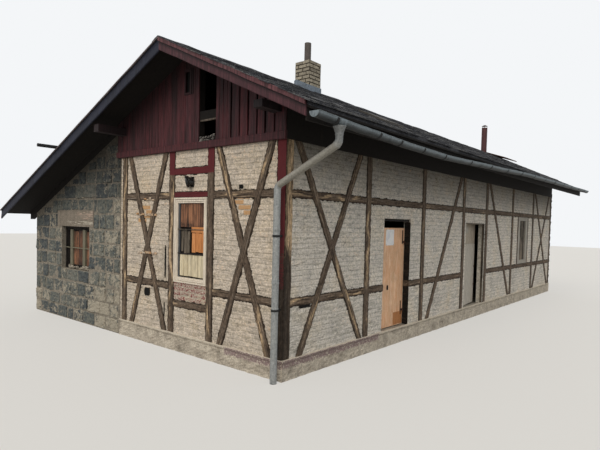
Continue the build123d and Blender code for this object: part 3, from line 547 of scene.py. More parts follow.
def metal(name, clean, dull, spots, rough, metallic=0.55):
    """Old sheet metal: a dull oxide skin in clouds, darker runs down it, and spots. Where the point attribute
    `darkening` is high it is nearly black: painted shade on the gutter's underside, and a darker top on the
    downpipe. Where `lime` is high it is pale with lime."""
    made, add, place = start(name, metallic=metallic)
    grime, lime = (add("Attribute", attribute_name=key) for key in ("grime", "lime"))
    cloud = add("TexNoise", place, Scale=9.0, Detail=6.0, Roughness=0.6)
    runs = add("TexNoise", add("Mapping", place, Scale=(1.0, 1.0, 0.15)), Scale=60.0, Detail=4.0)
    speckle = add("TexNoise", place, Scale=42.0, Detail=5.0, Roughness=0.7)
    base = add("Mix", cloud, clean, dull)
    mixed = add("Mix", add("MapRange", runs, 0.56, 0.72, 0.0, 0.7), base, spots)
    mixed = add("Mix", lime, mixed, "#9d978a")
    darkening_and_speckle = product(add, add("MapRange", grime, 0.0, 1.0, 1.0, 0.10),
                   add("MapRange", speckle, 0.35, 0.65, 0.72, 1.22))
    shade = add("VectorMath", mixed, operation="SCALE", Scale=darkening_and_speckle)
    gloss = add("MapRange", cloud, 0.0, 1.0, rough - 0.1, rough + 0.12)
    return dress(made, shade, runs, 0.25, 0.003, gloss)


zinc_finish = metal("dull_zinc", "#8b959a", "#6c767c", "#3f474d", 0.6, 0.3)
pipe_finish = metal("lime_streaked_zinc", "#a6a8a6", "#8b8f90", "#6c7072", 0.6, 0.3)
rust_finish = metal("rusted_steel", "#5a3b2e", "#3d2c26", "#2a211e", 0.75)
flue_finish = metal("red_oxide_flue", "#5c3a38", "#4a3233", "#2c2323", 0.65)
pot_finish = metal("sooted_clay_pot", "#6a625c", "#4c4643", "#37302d", 0.8, 0.0)
lead_finish = metal("lead_flashing", "#7d8894", "#667079", "#4b5157", 0.6)
black_finish = metal("black_lamp_enamel", "#0d0e10", "#131416", "#1c1c1c", 0.25, 0.0)
tar_finish = metal("tarred_iron", "#0c0c0d", "#111112", "#191918", 0.8, 0.0)
print("metal finishes made")

# %% Plywood, glass
FIGURE = [(0.30, "#cf9a6c"), (0.42, "#f6d0ab"), (0.52, "#e2a87d"), (0.60, "#ffe0bf"), (0.72, "#efc39d")]
made, add, place = start("weathered_plywood", 0.7, 0.3)
upright = add("Mapping", place, Scale=(11.0, 11.0, 0.55))
figure = add("TexNoise", upright, Scale=2.4, Detail=7.0, Roughness=0.66, Distortion=1.1)
cloud = add("TexNoise", place, Scale=4.0, Detail=5.0)
lively = add("MapRange", cloud, 0.3, 0.7, 0.86, 1.1)
sheet = add("ValToRGB", figure, stops=FIGURE)
plywood_finish = dress(made, add("VectorMath", sheet, operation="SCALE", Scale=lively))
made, add, place = start("dusty_skylight_glass", 0.85)
cloud = add("TexNoise", place, Scale=8.0, Detail=5.0)
skylight_finish = dress(made, add("Mix", cloud, "#2f2c29", "#4c4842"))
print("plywood and glass made")

# %% Finishes on the CAD nodes that stay as they are
FINISHES = {
    timber_finish: ["front_frame", "rear_frame", "side_frame_near", "side_frame_middle", "side_frame_far",
                    "door_head_rails", "inner_posts"],
    shaded_oak_finish: ["wall_plates", "eaves_closing_board", "eaves_fascia",
                         "rafters_left", "rafters_right", "roof_boards_left", "roof_boards_right",
                         "loft_joists", "loft_floor", "loft_opening_frame"],
    gable_mortar: ["front_infill", "rear_infill"],
    side_mortar: ["side_infill_near", "side_infill_middle", "side_infill_far", "over_door_infill"],
    red_finish: ["front_boarding_left", "front_boarding_right", "rear_boarding", "sill_boards"],
    barge_finish: ["barge_boards"],
    purlin_finish: ["right_purlin", "left_purlin"],
    slag_mortar: ["stone_front_wall", "stone_side_wall", "stone_rear_wall"],
    lintel_finish: ["stone_lintel"],
    concrete_finish: ["plinth", "lean_to_floor"],
    slate_finish: ["roof_covering_left", "roof_covering_right"],
    zinc_finish: ["gutter"],
    pipe_finish: ["downpipe"],
    tar_finish: ["gutter_and_pipe_brackets", "verge_bar"],
    lead_finish: ["chimney_flashing"],
    flue_finish: ["metal_flue"],
    pot_finish: ["chimney_pot"],
    rust_finish: ["door_1_straps", "door_2_straps", "door_hinge_pins", "loose_roof_sheet"],
    black_finish: ["wall_lamp"],
    chimney_joint: ["chimney"],
    plywood_finish: ["door_1_leaf"],
    white_finish: ["door_2_leaf", "side_window"],
    cream_finish: ["front_window", "rear_window"],
    brown_finish: ["stone_window"],
    skylight_finish: ["skylight"],
}
for finish, names in FINISHES.items():
    for name in names:
        mesh = nodes[name].data
        mesh.materials.clear()
        mesh.materials.append(finish)
print("finished", sum(len(v) for v in FINISHES.values()), "of", len(nodes), "CAD nodes")

# %% [markdown]
# ## The timber frame
#
# Oak posts, rails and crossed braces, hewn rather than sawn: the edges wander by some
# millimetres, the arrises are rounded and the faces dished. Each timber is one surface, a
# ten-point section carried along its length, closed by its two ends.

# %% One timber
SECTION = np.array([(-0.5, 1.0), (-0.5, 0.075), (-0.46, 0.012), (-0.28, 0.0), (-0.1, 0.0),
                    (0.1, 0.0), (0.28, 0.0), (0.46, 0.012), (0.5, 0.075), (0.5, 1.0)])
SPLITS = {
    "front": [(-1.346, 2.892, 0.30), (-1.203, 2.586, 0.25), (-1.09, 2.33, 0.20), (-0.41, 2.90, 0.18),
              (-0.455, 2.69, 0.12), (-0.43, 0.23, 0.20), (-0.50, 0.48, 0.18), (-4.0, 2.43, 0.30),
              (-4.02, 2.06, 0.2), (-4.0, 1.4, 0.3), (-2.921, 2.829, 0.20), (-3.0, 2.49, 0.15),
              (-3.9, 0.80, 0.14), (-2.60, 2.39, 0.22), (-2.58, 1.73, 0.40), (-2.57, 1.22, 0.35),
              (-0.70, 2.15, 0.12), (-3.62, 0.45, 0.2), (-3.69, 0.24, 0.15), (-1.50, 0.35, 0.2),
              (-0.62, 1.55, 0.1), (-2.6, 0.55, 0.2)],
    "side": [(2.05, 1.90, 0.22), (2.04, 1.48, 0.28), (2.06, 1.05, 0.18), (1.80, 0.80, 0.14),
             (0.741, 1.436, 0.25), (1.254, 1.186, 0.2), (1.466, 0.70, 0.15), (1.68, 0.35, 0.3),
             (0.9, 2.29, 0.12), (1.3, 2.29, 0.1), (1.7, 2.29, 0.1), (0.08, 2.25, 0.5),
             (0.08, 1.7, 0.25), (0.62, 0.62, 0.2), (0.25, 0.80, 0.12)],
    "rear": [],
}
SEAM_DEPTH, SEAM_WIDTH, SEAM_STEP, TIMBER_STEP = -0.0030, 0.008, 0.018, 0.055
seams = {name: Heap() for name in ("front", "side", "rear")}


def tube(heap, wall, s, t, h, uv=None, **values):
    """A closed section of m points carried through n places: s, t and h are n by m arrays
    in the wall's frame. Both ends are closed by a flat cap."""
    n, m = s.shape
    points = wall.at(s, t, h)
    centre = points.mean(1)
    spoke = points[0, 0] - centre[0]
    turned = np.cross(spoke, points[0, 1] - centre[0])
    faces = grid_faces(n, m, closed=True)
    if np.dot(turned, centre[-1] - centre[0]) > 0:
        faces = faces[:, ::-1]
        caps = [range(m - 1, -1, -1), range(n * m - m, n * m)]
    else:
        caps = [range(m), range(n * m - 1, n * m - m - 1, -1)]
    heap.take(points, faces, uv, caps=caps, **values)


def on_line(line, s):
    """The values of a line at s. The line is a function, or one number for all places."""
    return np.asarray(line(s) if callable(line) else line + 0 * s, float)


def split_off(start, run, length, along, spots):
    """1 near those spots (s, t, reach) that lie on this timber, fading out along it."""
    value = 0 * along
    for s, t, reach in spots:
        middle = ((s - start[0]) * run[0] + (t - start[1]) * run[1]) / length
        aside = abs(run[0] * (t - start[1]) - run[1] * (s - start[0])) / length
        if aside < 0.10:
            value = np.maximum(value, np.clip(1.4 - np.abs(along - middle) / reach, 0, 1))
    return value


def timber(heap, wall, start, end, width, seed, proud=0.004, depth=0.15, wander=0.006,
           paint=0.0, soot=None, flank=None):
    """Section points (a, b) carried from start to end, both (s, t) in the wall's frame:
    place = centre line + across * (a * width + wander of that edge), out = proud - b * depth
    plus a dish of a few millimetres. Uprights keep level ends, rails keep upright ends.
    `paint`, `soot` and `flank`, the split side face, are numbers or functions of height."""
    start, end = np.array(start, float), np.array(end, float)
    run = end - start
    length = np.hypot(*run)
    upright = abs(run[1]) > abs(run[0])
    across = np.array([1.0, 0.0]) if upright else np.array([0.0, 1.0])
    wide = width * (length / abs(run[1]) if upright else 1.0)

    def carried(n, sideways):
        """Places on n rings along the timber, that far to the side of its centre line."""
        t = np.linspace(0, 1, n)[:, None]
        return (start[0] + run[0] * t + across[0] * sideways,
                start[1] + run[1] * t + across[1] * sideways)

    n = max(6, int(length / TIMBER_STEP))
    t = np.linspace(0, 1, n)[:, None]
    far = t * length
    a, b = SECTION[:, 0][None], SECTION[:, 1][None]
    edge = np.where(a < 0, wave(far, seed, 0.5), wave(far, seed + 7, 0.5)) * wander
    edge = edge + np.where(a < 0, wave(far, seed + 3, 0.11), wave(far, seed + 4, 0.11)) * wander * 0.4
    s, z = carried(n, a * wide + edge * np.abs(a) * 2)
    dish = wave(far, seed + 11, 0.35) * 0.0016 + wave(far + a * 9, seed + 13, 0.12) * 0.0012
    h = proud - b * depth + dish * (b < 0.5)
    steps = [np.diff(v[0] * size, prepend=v[0, 0] * size) for v, size in ((a, wide), (b, depth))]
    uv = np.stack(np.broadcast_arrays(far, np.cumsum(np.hypot(*steps))[None]), -1)
    r = np.random.default_rng(seed)
    grime = r.uniform(0.0, 0.22) if soot is None else soot
    middle = wave(far, seed + 51, 0.9) * 0.28
    peeled = split_off(start, run, length, far, SPLITS[wall.name])
    peeled = peeled * np.clip(1.6 - np.abs(a - middle) / 0.17, 0, 1)
    if flank is not None:
        peeled = np.where((a > 0.45) & (b > 0.05), on_line(flank, z), peeled)
    tube(heap, wall, s, z, h, uv, tone=r.uniform(), paint=on_line(paint, z) * (b < 0.05),
         edge=np.abs(a) * 2 * (b < 0.5) + 0 * s, soot=on_line(grime, z), split=peeled)

    # Dark strips on the mortar along both long edges of the timber, of wandering width: painted shade in the
    # gap between timber and infill.
    n = max(6, int(length / SEAM_STEP))
    far = np.linspace(0, 1, n)[:, None] * length
    lines = np.array([-0.5, -0.42, 0.42, 0.5])[None]
    left, right = (wave(far, seed + 31 + k, 0.22) * 0.009 + wave(far, seed + 41 + k, 0.06) * 0.006
                   for k in (0, 1))
    gap = np.maximum(np.where(lines < 0, left, right) + SEAM_WIDTH, 0.001)
    s, z = carried(n, lines * wide + np.sign(lines) * (np.abs(lines) > 0.45) * gap)
    faces = grid_faces(n, len(lines[0]))
    seams[wall.name].take(wall.at(s, z, SEAM_DEPTH), faces[:, ::-1] if upright else faces, tone=0.5)


print("a timber has", len(SECTION), "points round it, and a ring every", TIMBER_STEP, "m")

# %% A frame of posts, braces and rails
BRACE, RAIL, POST, CORNER_POST, STUD = 0.125, 0.110, 0.150, 0.160, 0.060
POST_OUT, CORNER_OUT, RAIL_OUT, BRACE_OUT = (0.006, 0.156), (0.004, 0.154), (0.002, 0.151), (0.007, 0.155)
LOW_RAIL, HIGH_RAIL = 0.794, 2.298


def frame_timbers(heap, wall, posts, braces, rails, seeds):
    """Posts (s, paint), braces (s of foot, s of head) and rails (s0, s1, z, width, paint), with
    the first seed of each kind. Every pair of OUT says how far a kind stands proud of the wall
    and how deep it is. Every second brace is 2 mm prouder, as halved timbers are."""
    for i, (s, paint) in enumerate(posts):
        timber(heap, wall, (s, 0), (s, WALL_TOP), POST, seeds[0] + 20 * i, *POST_OUT, paint=paint)
    for i, (foot, head) in enumerate(braces):
        timber(heap, wall, (foot, 0), (head, WALL_TOP), BRACE, seeds[1] + 20 * i,
               BRACE_OUT[0] + 0.002 * (i % 2), BRACE_OUT[1], 0.010)
    for i, (s0, s1, z, width, paint) in enumerate(rails):
        timber(heap, wall, (s0 - 0.01, z), (s1 + 0.01, z), width, seeds[2] + 20 * i, *RAIL_OUT, paint=paint)


print("posts", POST, "m wide, rails", RAIL, "m high, braces", BRACE, "m wide")

# %% [markdown]
# The gables are alike but for the paint and the splits, so the rear one is the front one
# mirrored.

# %% Timbers of the gables
GABLE_POSTS = (-3.981, -2.540, -1.548)
GABLE_BRACES = [(-2.715, -3.806), (-3.731, -2.715), (-0.260, -1.373), (-1.298, -0.260)]
GABLE_RAILS = [(-3.906, -2.615, LOW_RAIL, RAIL), (-3.906, -2.615, HIGH_RAIL, RAIL),
               (-1.473, -0.160, LOW_RAIL, RAIL), (-1.473, -0.160, HIGH_RAIL, RAIL),
               (-2.465, -1.623, 0.515, RAIL)]
PAINTED_RAILS = [(-2.465, -1.623, 2.310, 0.090), (-2.465, -1.623, 2.690, RAIL)]


def corner_soot(z):
    """The foot of the corner post is nearly black, up to where the paint begins."""
    return 0.85 - np.clip((z - 1.25) / 0.35, 0, 1) * 0.75


def corner_paint(z):
    """Red paint on the corner post from breast height up, thinner towards its foot."""
    return np.clip((z - 0.88) / 0.12, 0, 1) * 0.53 + np.clip((z - 1.45) / 0.3, 0, 1) * 0.42


def corner_flank(z):
    """The corner post's side face has split down to pale wood above breast height."""
    return np.clip((z - 1.35) / 0.2, 0, 1) * 0.72


def top_paint(z):
    """Red paint on the head of a post, above the high rail's underside."""
    return np.clip((z - 2.60) / 0.06, 0, 1) * 0.95


def gable_frame(wall, seed):
    """Posts, braces and rails of one gable, with paint on the front one."""
    heap = Heap()
    painted = wall is front
    m = 1 if painted else -1
    posts = [(m * s, top_paint if painted and s > GABLE_POSTS[0] else 0.0) for s in GABLE_POSTS]
    braces = [(m * foot, m * head) for foot, head in GABLE_BRACES]
    rails = [(*sorted((m * s0, m * s1)), *rest, 0.98 if painted and rails is PAINTED_RAILS else 0.0)
             for rails in (GABLE_RAILS, PAINTED_RAILS) for s0, s1, *rest in rails]
    frame_timbers(heap, wall, posts, braces, rails, (seed, seed + 200, seed + 400))
    corner = {"paint": corner_paint, "soot": corner_soot, "flank": corner_flank} if painted else {}
    s = m * -CORNER_POST / 2
    timber(heap, wall, (s, 0), (s, WALL_TOP), CORNER_POST, seed + 99, *CORNER_OUT, 0.004, **corner)
    piece(wall.name + "_timbers", heap, timber_finish,
          replaces=(wall.name + "_frame",))


gable_frame(front, 100)
gable_frame(rear, 1100)

# %% Timbers of the platform side
WINDOW_STUDS = [10.260, 11.250]
SIDE_FRAMES = {
    "side_frame_near": ([2.084],
                        [(0.15, 2.009, LOW_RAIL), (0.15, 2.009, HIGH_RAIL), (2.159, 2.620, LOW_RAIL)],
                        [(0.350, 1.809), (1.909, 0.250)]),
    "side_frame_middle": ([4.119, 6.156],
                          [(3.590, 4.044, LOW_RAIL), (4.194, 6.081, LOW_RAIL), (4.194, 6.081, HIGH_RAIL)],
                          [(4.394, 5.981)]),
    "side_frame_far": ([7.645, 9.725, 11.780],
                       [(7.720, 9.650, LOW_RAIL), (7.720, 9.650, HIGH_RAIL), (9.800, 11.705, LOW_RAIL),
                        (9.800, 11.705, HIGH_RAIL), (11.855, 13.820, LOW_RAIL),
                        (11.855, 13.820, HIGH_RAIL)],
                       [(9.550, 7.820), (13.720, 11.955), (11.955, 13.620)]),
    "door_head_rails": ([], [(2.159, 4.044, HIGH_RAIL), (6.231, 7.570, HIGH_RAIL)], []),
}
for k, (node, (posts, rails, braces)) in enumerate(SIDE_FRAMES.items()):
    heap = Heap()
    frame_timbers(heap, side, [(y, 0.0) for y in posts], braces, [(*rail, RAIL, 0.0) for rail in rails],
                  (3000 + 300 * k, 4000 + 300 * k, 5000 + 300 * k))
    for y in WINDOW_STUDS if node == "side_frame_far" else ():
        timber(heap, side, (y, LOW_RAIL + RAIL / 2), (y, HIGH_RAIL - RAIL / 2), STUD, 5990)
    piece(node.replace("frame", "timbers") + "_oak", heap, timber_finish,
          replaces=(node,))

# %% Painted shade in the seams between timber and infill
seam_shade_finish = masonry("painted_seam_shade", ["#15110e", "#2a231d", "#55483c"], 0.03, 0.95, 0.6)
for key, heap in seams.items():
    piece(key + "_seams", heap, seam_shade_finish)

# %% [markdown]
# ## Bricks
#
# The infill is a half-brick wall of 250 x 65 mm bricks in stretcher bond with 12 mm
# joints, limewashed. A picture of bricks would do from afar, but real ones cast the small
# shadows that make the wall look laid by hand. Each is a low pillow on the mortar bed: a
# grid whose rim lies in the mortar and whose middle stands a few millimetres proud. All
# bricks of a wall are worked out at once as arrays.

# %% Many small blocks at once
COARSE, FINE = (0.0, 0.5, 1.0), (0.0, 0.35, 0.7, 1.0)


def pillows(heap, wall, s0, s1, t0, t1, lift, seed, rim=0.004, rough=0.0016, base=0.0, steps=COARSE,
            tilt=0.0, coat=0, **values):
    """N blocks with corners (s0, t0)-(s1, t1), each a grid of (k+2) by (k+2) points: the
    outer ring lies at `base`, the next, `rim` inside it, at base + lift. Each point strays
    at random by `rough`, and each block tips a little. `tilt` lifts the foot over the head."""
    s0, s1, t0, t1 = (np.atleast_1d(np.asarray(v, float)) for v in (s0, s1, t0, t1))
    n, k = len(s0), len(steps)
    r = np.random.default_rng(seed)
    steps = np.asarray(steps, float)
    u = np.concatenate([[0.0], steps, [1.0]])
    inset = np.concatenate([[0.0], 1 - 2 * steps, [0.0]])
    ring = np.array([0.0] + [1.0] * k + [0.0])
    wide, high = (s1 - s0)[:, None, None], (t1 - t0)[:, None, None]
    us, ut = u[None, :, None], u[None, None, :]
    s = s0[:, None, None] + us * wide + inset[None, :, None] * rim + 0 * ut
    t = t0[:, None, None] + ut * high + inset[None, None, :] * rim + 0 * us
    inside = ring[None, :, None] * ring[None, None, :]
    jitter = r.normal(0, 1, (3, n, k + 2, k + 2))
    s = s + jitter[0] * rough
    t = t + jitter[1] * rough
    tip = r.uniform(-1, 1, (2, n, 1, 1)) * rough * 1.2
    lift = np.broadcast_to(np.asarray(lift, float), (n,))[:, None, None] + tilt * (1 - ut)
    tipped = tip[0] * (us - 0.5) * 2 + tip[1] * (ut - 0.5) * 2
    h = base + inside * (lift + jitter[2] * rough * 0.7 + tipped)
    values["tone"] = r.uniform(size=n)
    extra = {key: np.broadcast_to(np.asarray(v, float)[:, None, None], s.shape)
             for key, v in values.items()}
    heap.take(wall.at(s, t, h), grid_faces(k + 2, k + 2, count=n), np.stack([s, t], -1), coat=coat, **extra)


def courses(s0, s1, t0, t1, length, height, joint, seed, least=0.03, head_joint=None):
    """Left, right, foot and head of every brick of a panel laid in courses of brick plus
    joint, each course shifted by half a brick and a little chance, cut at the panel's edge."""
    r = np.random.default_rng(seed)
    rows = int(np.ceil((t1 - t0) / (height + joint))) + 1
    cols = int(np.ceil((s1 - s0) / (length + joint))) + 2
    row, col = np.meshgrid(np.arange(rows), np.arange(cols), indexing="ij")
    shift = ((row % 2) * 0.5 + r.uniform(-0.06, 0.06, (rows, 1)) + r.uniform()) % 1.0
    left = s0 + (col - shift) * (length + joint)
    right = left + length + (0.0 if head_joint is None else joint - head_joint)
    foot = t0 + row * (height + joint) + joint * 0.5
    head = foot + height
    left, right = np.clip(left, s0, s1), np.clip(right, s0, s1)
    foot, head = np.clip(foot, t0, t1), np.clip(head, t0, t1)
    keep = (right - left > least) & (head - foot > least * 0.6)
    return left[keep], right[keep], foot[keep], head[keep]


BRICK, COURSE, JOINT, HEAD_JOINT, BED = 0.245, 0.064, 0.012, 0.003, -0.0085
BARE_GABLE = [(-3.30, 2.06, 0.13), (-3.36, 1.90, 0.10), (-0.90, 2.20, 0.12), (-0.72, 2.08, 0.10),
              (-3.95, 0.80, 0.1)]
GABLE_POCKETS = [(-3.340, 0.540, 0.170, 0.150), (-2.735, 0.905, 0.050, 0.560),
                 (-2.745, 0.230, 0.035, 0.280), (-0.925, 2.370, 0.100, 0.065)]
SIDE_POCKETS = [(0.345, 0.686, 0.270, 0.053)]
ROSE_BAY = (-2.465, -1.623, 0.57, 0.87)
Z1, Z2, Z3, Z4 = LOW_RAIL - RAIL / 2, LOW_RAIL + RAIL / 2, HIGH_RAIL - RAIL / 2, HIGH_RAIL + RAIL / 2


def bare_near(s, t, spots):
    """0.85 for bricks whose middle lies within a spot (s, t, radius), else 0."""
    value = np.zeros(len(s))
    for ps, pt, radius in spots:
        value = np.maximum(value, (np.hypot(s - ps, t - pt) < radius) * 0.85)
    return value


def brickwork(name, wall, panels, seed, finish, spots=(), pockets=()):
    """Bricks of all panels (s0, s1, t0, t1) of one wall as one piece, none over a pocket
    (s, t, width, rise). Near the ground the wash is so thick that they hardly show."""
    heap = Heap()
    parts = [courses(*panel, BRICK, COURSE, JOINT, seed + i, head_joint=HEAD_JOINT)
             for i, panel in enumerate(panels)]
    s0, s1, t0, t1 = (np.concatenate(v) for v in zip(*parts))
    keep = np.full(len(s0), True)
    for ps, pt, wide, rise in pockets:
        keep &= (s1 < ps) | (s0 > ps + wide) | (t1 < pt + 0.01) | (t0 > pt + rise - 0.01)
    s0, s1, t0, t1 = s0[keep], s1[keep], t0[keep], t1[keep]
    r = np.random.default_rng(seed)
    lift = np.where(t1 < 0.75, 0.0016, 0.0030) + r.uniform(-0.0014, 0.0016, len(s0))
    bare = bare_near((s0 + s1) / 2, (t0 + t1) / 2, spots)
    rose = (s0 >= ROSE_BAY[0]) & (s1 <= ROSE_BAY[1]) & (t0 >= ROSE_BAY[2]) & (t1 <= ROSE_BAY[3])
    pillows(heap, wall, s0, s1, t0, t1, lift, seed + 5, rim=0.008, base=BED, steps=FINE,
            bare=bare, rose=rose & (wall is front))
    piece(name, heap, finish)


def blot(heap, wall, s, t, wide, rise, seed, height=-0.0062):
    """A ragged flat patch that fills a box of wide by rise at (s, t): the radius of a
    rounded rectangle, made uneven by a wave round it."""
    angle = np.linspace(0, 2 * np.pi, 40, endpoint=False)[None]
    out = np.array([0.02, 0.6, 1.0])[:, None]
    square = 1 / np.maximum(np.abs(np.cos(angle)), np.abs(np.sin(angle))) ** 0.75
    ragged = square * (0.92 + 0.12 * wave(np.minimum(angle, 2 * np.pi - angle), seed, 0.7)) * out
    points = wall.at(s + wide / 2 + ragged * np.cos(angle) * wide / 2,
                     t + rise / 2 + ragged * np.sin(angle) * rise / 2, height)
    heap.take(points, grid_faces(3, 40, closed=True)[:, ::-1], tone=0.5)


def bays(*spans):
    """Panels between the plinth, the two rails and the wall plate, for each span (s0, s1)."""
    return [(*span, *z) for span in spans for z in ((0, Z1), (Z2, Z3), (Z4, WALL_TOP))]


def mirrored(panels):
    """The same panels on the other gable, seen from outside."""
    return [(-s1, -s0, t0, t1) for s0, s1, t0, t1 in panels]


gable_panels = bays((-4.127, -4.056), (-3.906, -2.615), (-1.473, -0.16))
gable_panels += [(-2.465, -1.623, *z) for z in ((0, 0.46), (0.57, 0.87), (2.355, 2.635), (2.745, WALL_TOP))]
brickwork("front_bricks", front, gable_panels, 7000, gable_brick, BARE_GABLE, GABLE_POCKETS)
brickwork("rear_bricks", rear, mirrored(gable_panels), 7100, gable_brick)

# %% Painted shade in the hollows where bricks are missing, and scraps of brick
heap = Heap()
for wall, pockets, seed in ((front, GABLE_POCKETS, 7050), (side, SIDE_POCKETS, 7060)):
    for i, pocket in enumerate(pockets):
        blot(heap, wall, *pocket, seed + i)
hollow_shade_finish = masonry("painted_hollow_shade", ["#060606", "#0c0b0a"], 0.1, 0.95, 0.3)
piece("wall_hollows", heap, hollow_shade_finish)
heap = Heap()
bits = np.random.default_rng(7070)
for z, s_from, s_to in ((1.965, -3.56, -2.98), (1.290, -3.52, -2.94), (2.235, -3.33, -3.05)):
    left = np.arange(s_from, s_to, 0.075)
    n = len(left)
    left = left + bits.uniform(-0.015, 0.015, n)
    low = z + bits.uniform(-0.016, 0.010, n)
    pillows(heap, front, left, left + bits.uniform(0.04, 0.08, n), low, low + bits.uniform(0.024, 0.046, n),
            bits.uniform(0.008, 0.018, n), 7071, rim=0.006, rough=0.004, base=0.008, steps=FINE,
            bare=bits.uniform(0.0, 0.9, n))
piece("brick_scraps", heap, gable_brick)

# %% Bricks of the platform side
near_panels = bays((0.15, 2.009), (2.159, 2.62))
middle_panels = bays((3.59, 4.044), (4.194, 6.081)) + [(6.231, 6.33, 0, Z3), (6.231, 6.33, Z4, WALL_TOP)]
far_panels = [(7.50, 7.57, 0, Z3)] + bays((7.720, 9.650), (11.855, 13.82))
far_panels += [(9.80, 11.705, 0, Z1), (9.80, 10.23, Z2, Z3), (11.28, 11.705, Z2, Z3),
               (9.80, 11.705, Z4, WALL_TOP)]
over_panels = [(2.62, 3.59, 2.015, Z3), (2.62, 3.59, Z4, WALL_TOP),
               (6.33, 7.5, 2.0, Z3), (6.33, 7.5, Z4, WALL_TOP)]
brickwork("side_bricks_near", side, near_panels, 7200, side_brick, (), SIDE_POCKETS)
brickwork("side_bricks_middle", side, middle_panels, 7300, side_brick)
brickwork("side_bricks_far", side, far_panels, 7400, side_brick)
brickwork("bricks_over_doors", side, over_panels, 7500, side_brick)

# %% [markdown]
# ## Stone lean-to
#
# Cast slag blocks, about 420 x 300 mm, with wide sloppy joints. Each block is a finer
# pillow than a brick, because it is large enough for its broken edge to show.

# %% Slag blocks
UNDER_RAFTERS, OVER_ALL, LEAST_BLOCK = 0.21, 3.6, 0.05


def around_hole(block, hole):
    """What is left of a block (s0, s1, t0, t1) round a hole given alike: the parts left of
    it, right of it, under it and over it."""
    s0, s1, t0, t1 = block
    a, b, c, d = hole
    if s1 <= a or s0 >= b or t1 <= c or t0 >= d:
        return [block]
    low, high = max(s0, a), min(s1, b)
    rest = [(s0, a, t0, t1), (b, s1, t0, t1), (low, high, t0, c), (low, high, d, t1)]
    return [part for part in rest if part[1] > part[0] and part[3] > part[2]]


def stonework(name, wall, s0, s1, top, seed, holes=()):
    """Blocks between s0 and s1 from the ground up to the line `top`, left out round the holes
    (s0, s1, t0, t1), in courses of uneven height."""
    heap = Heap()
    r = np.random.default_rng(seed)
    foot, parts = -PLINTH, []
    while foot < OVER_ALL:
        height = r.uniform(0.25, 0.31)
        cuts = np.cumsum(r.uniform(0.26, 0.50, int((s1 - s0) / 0.26) + 2))
        cuts = np.concatenate([[0], cuts]) + s0 - r.uniform(0, 0.3)
        left, right = np.clip(cuts[:-1], s0, s1), np.clip(cuts[1:], s0, s1)
        parts += [(a, b, foot, foot + height) for a, b in zip(left, right) if b - a > 0.07]
        foot += height
    blocks = []
    for a, b, z0, z1 in parts:
        z1 = min(z1, float(min(on_line(top, a), on_line(top, b))) - 0.005)
        here = [(a, b, z0, z1)] if z1 - z0 >= LEAST_BLOCK else []
        for hole in holes:
            here = [part for block in here for part in around_hole(block, hole)]
        blocks += [p for p in here if p[1] - p[0] > LEAST_BLOCK and p[3] - p[2] > LEAST_BLOCK]
    left, right, low, high = np.array(blocks).T
    n = len(blocks)
    gap = r.uniform(0.006, 0.026, (4, n))
    near = np.clip(1 - np.abs(right - s1) / 0.9, 0, 1) * 0.20 + np.clip(1 - low / 0.6, 0, 1) * 0.25
    smear = r.uniform(-0.14, 0.38, n) + near
    pillows(heap, wall, left + gap[0], right - gap[1], low + gap[2], high - gap[3],
            r.uniform(0.008, 0.022, n), seed + 1, rim=0.012, rough=0.0065, base=-0.004,
            steps=np.linspace(0, 1, 7), smear=smear)
    piece(name, heap, slag_finish)


def under_roof(s):
    """The underside of the rafters over the front wall."""
    return roof_z(s, UNDER_RAFTERS)


LINTEL = (-6.690, -5.140)
WINDOW_HOLES = [(-6.515, -5.313, 0.80, 1.71), (-6.70, -5.128, 1.71, 2.04)]
heap = Heap()
for i, (t0, t1) in enumerate([(1.716, 1.835), (1.850, 2.036)]):
    pillows(heap, front, *LINTEL, t0, t1, 0.010, 8050 + i, rim=0.02, rough=0.006, base=-0.002,
            steps=np.linspace(0, 1, 14), coat=i)
low_lintel = masonry("lintel_concrete", ["#9b9588", "#c2baaa", "#d8d0c0"], 0.06, 0.9, 0.7)
high_lintel = masonry("lintel_sandstone", ["#8a776b", "#b09a8b", "#c8b5a5"], 0.05, 0.9, 0.9)
piece("lintel_faces", heap, [low_lintel, high_lintel])
stonework("front_stones", front, LEAN_LEFT, BODY_LEFT, under_roof, 8000, WINDOW_HOLES)
stonework("rear_stones", rear, -BODY_LEFT, -LEAN_LEFT, lambda s: under_roof(-s), 8100)
stonework("side_stones", lean_side, -LENGTH, 0.0, float(under_roof(LEAN_LEFT)), 8200)

# %% [markdown]
# ## Boards of the gable
#
# Above the frame the gable is closed with upright boards, painted oxblood red. Left of the
# loft opening they are narrow and close; right of it they are wide, and have shrunk so far
# that the dark loft shows between them. A board is a shallow section carried up the wall,
# and each of its long lines ends on the slope of the roof.

# %% Upright boards
BOARD_SECTION = np.array([(-0.5, 1.0), (-0.5, 0.16), (-0.44, 0.0), (-0.15, 0.05), (0.15, 0.05),
                          (0.44, 0.0), (0.5, 0.16), (0.5, 1.0)])
SILL_TOP, BOARD_THICK, BOARD_OUT = WALL_TOP + 0.108, 0.022, 0.025
LOFT_LEFT, LOFT_RIGHT = -1.839, -1.429
HATCH = (-2.180, -2.055, 3.925, 4.262)
WIDE = [-1.086, -0.906, -0.727, -0.547, -0.384, -0.204, 0.016]


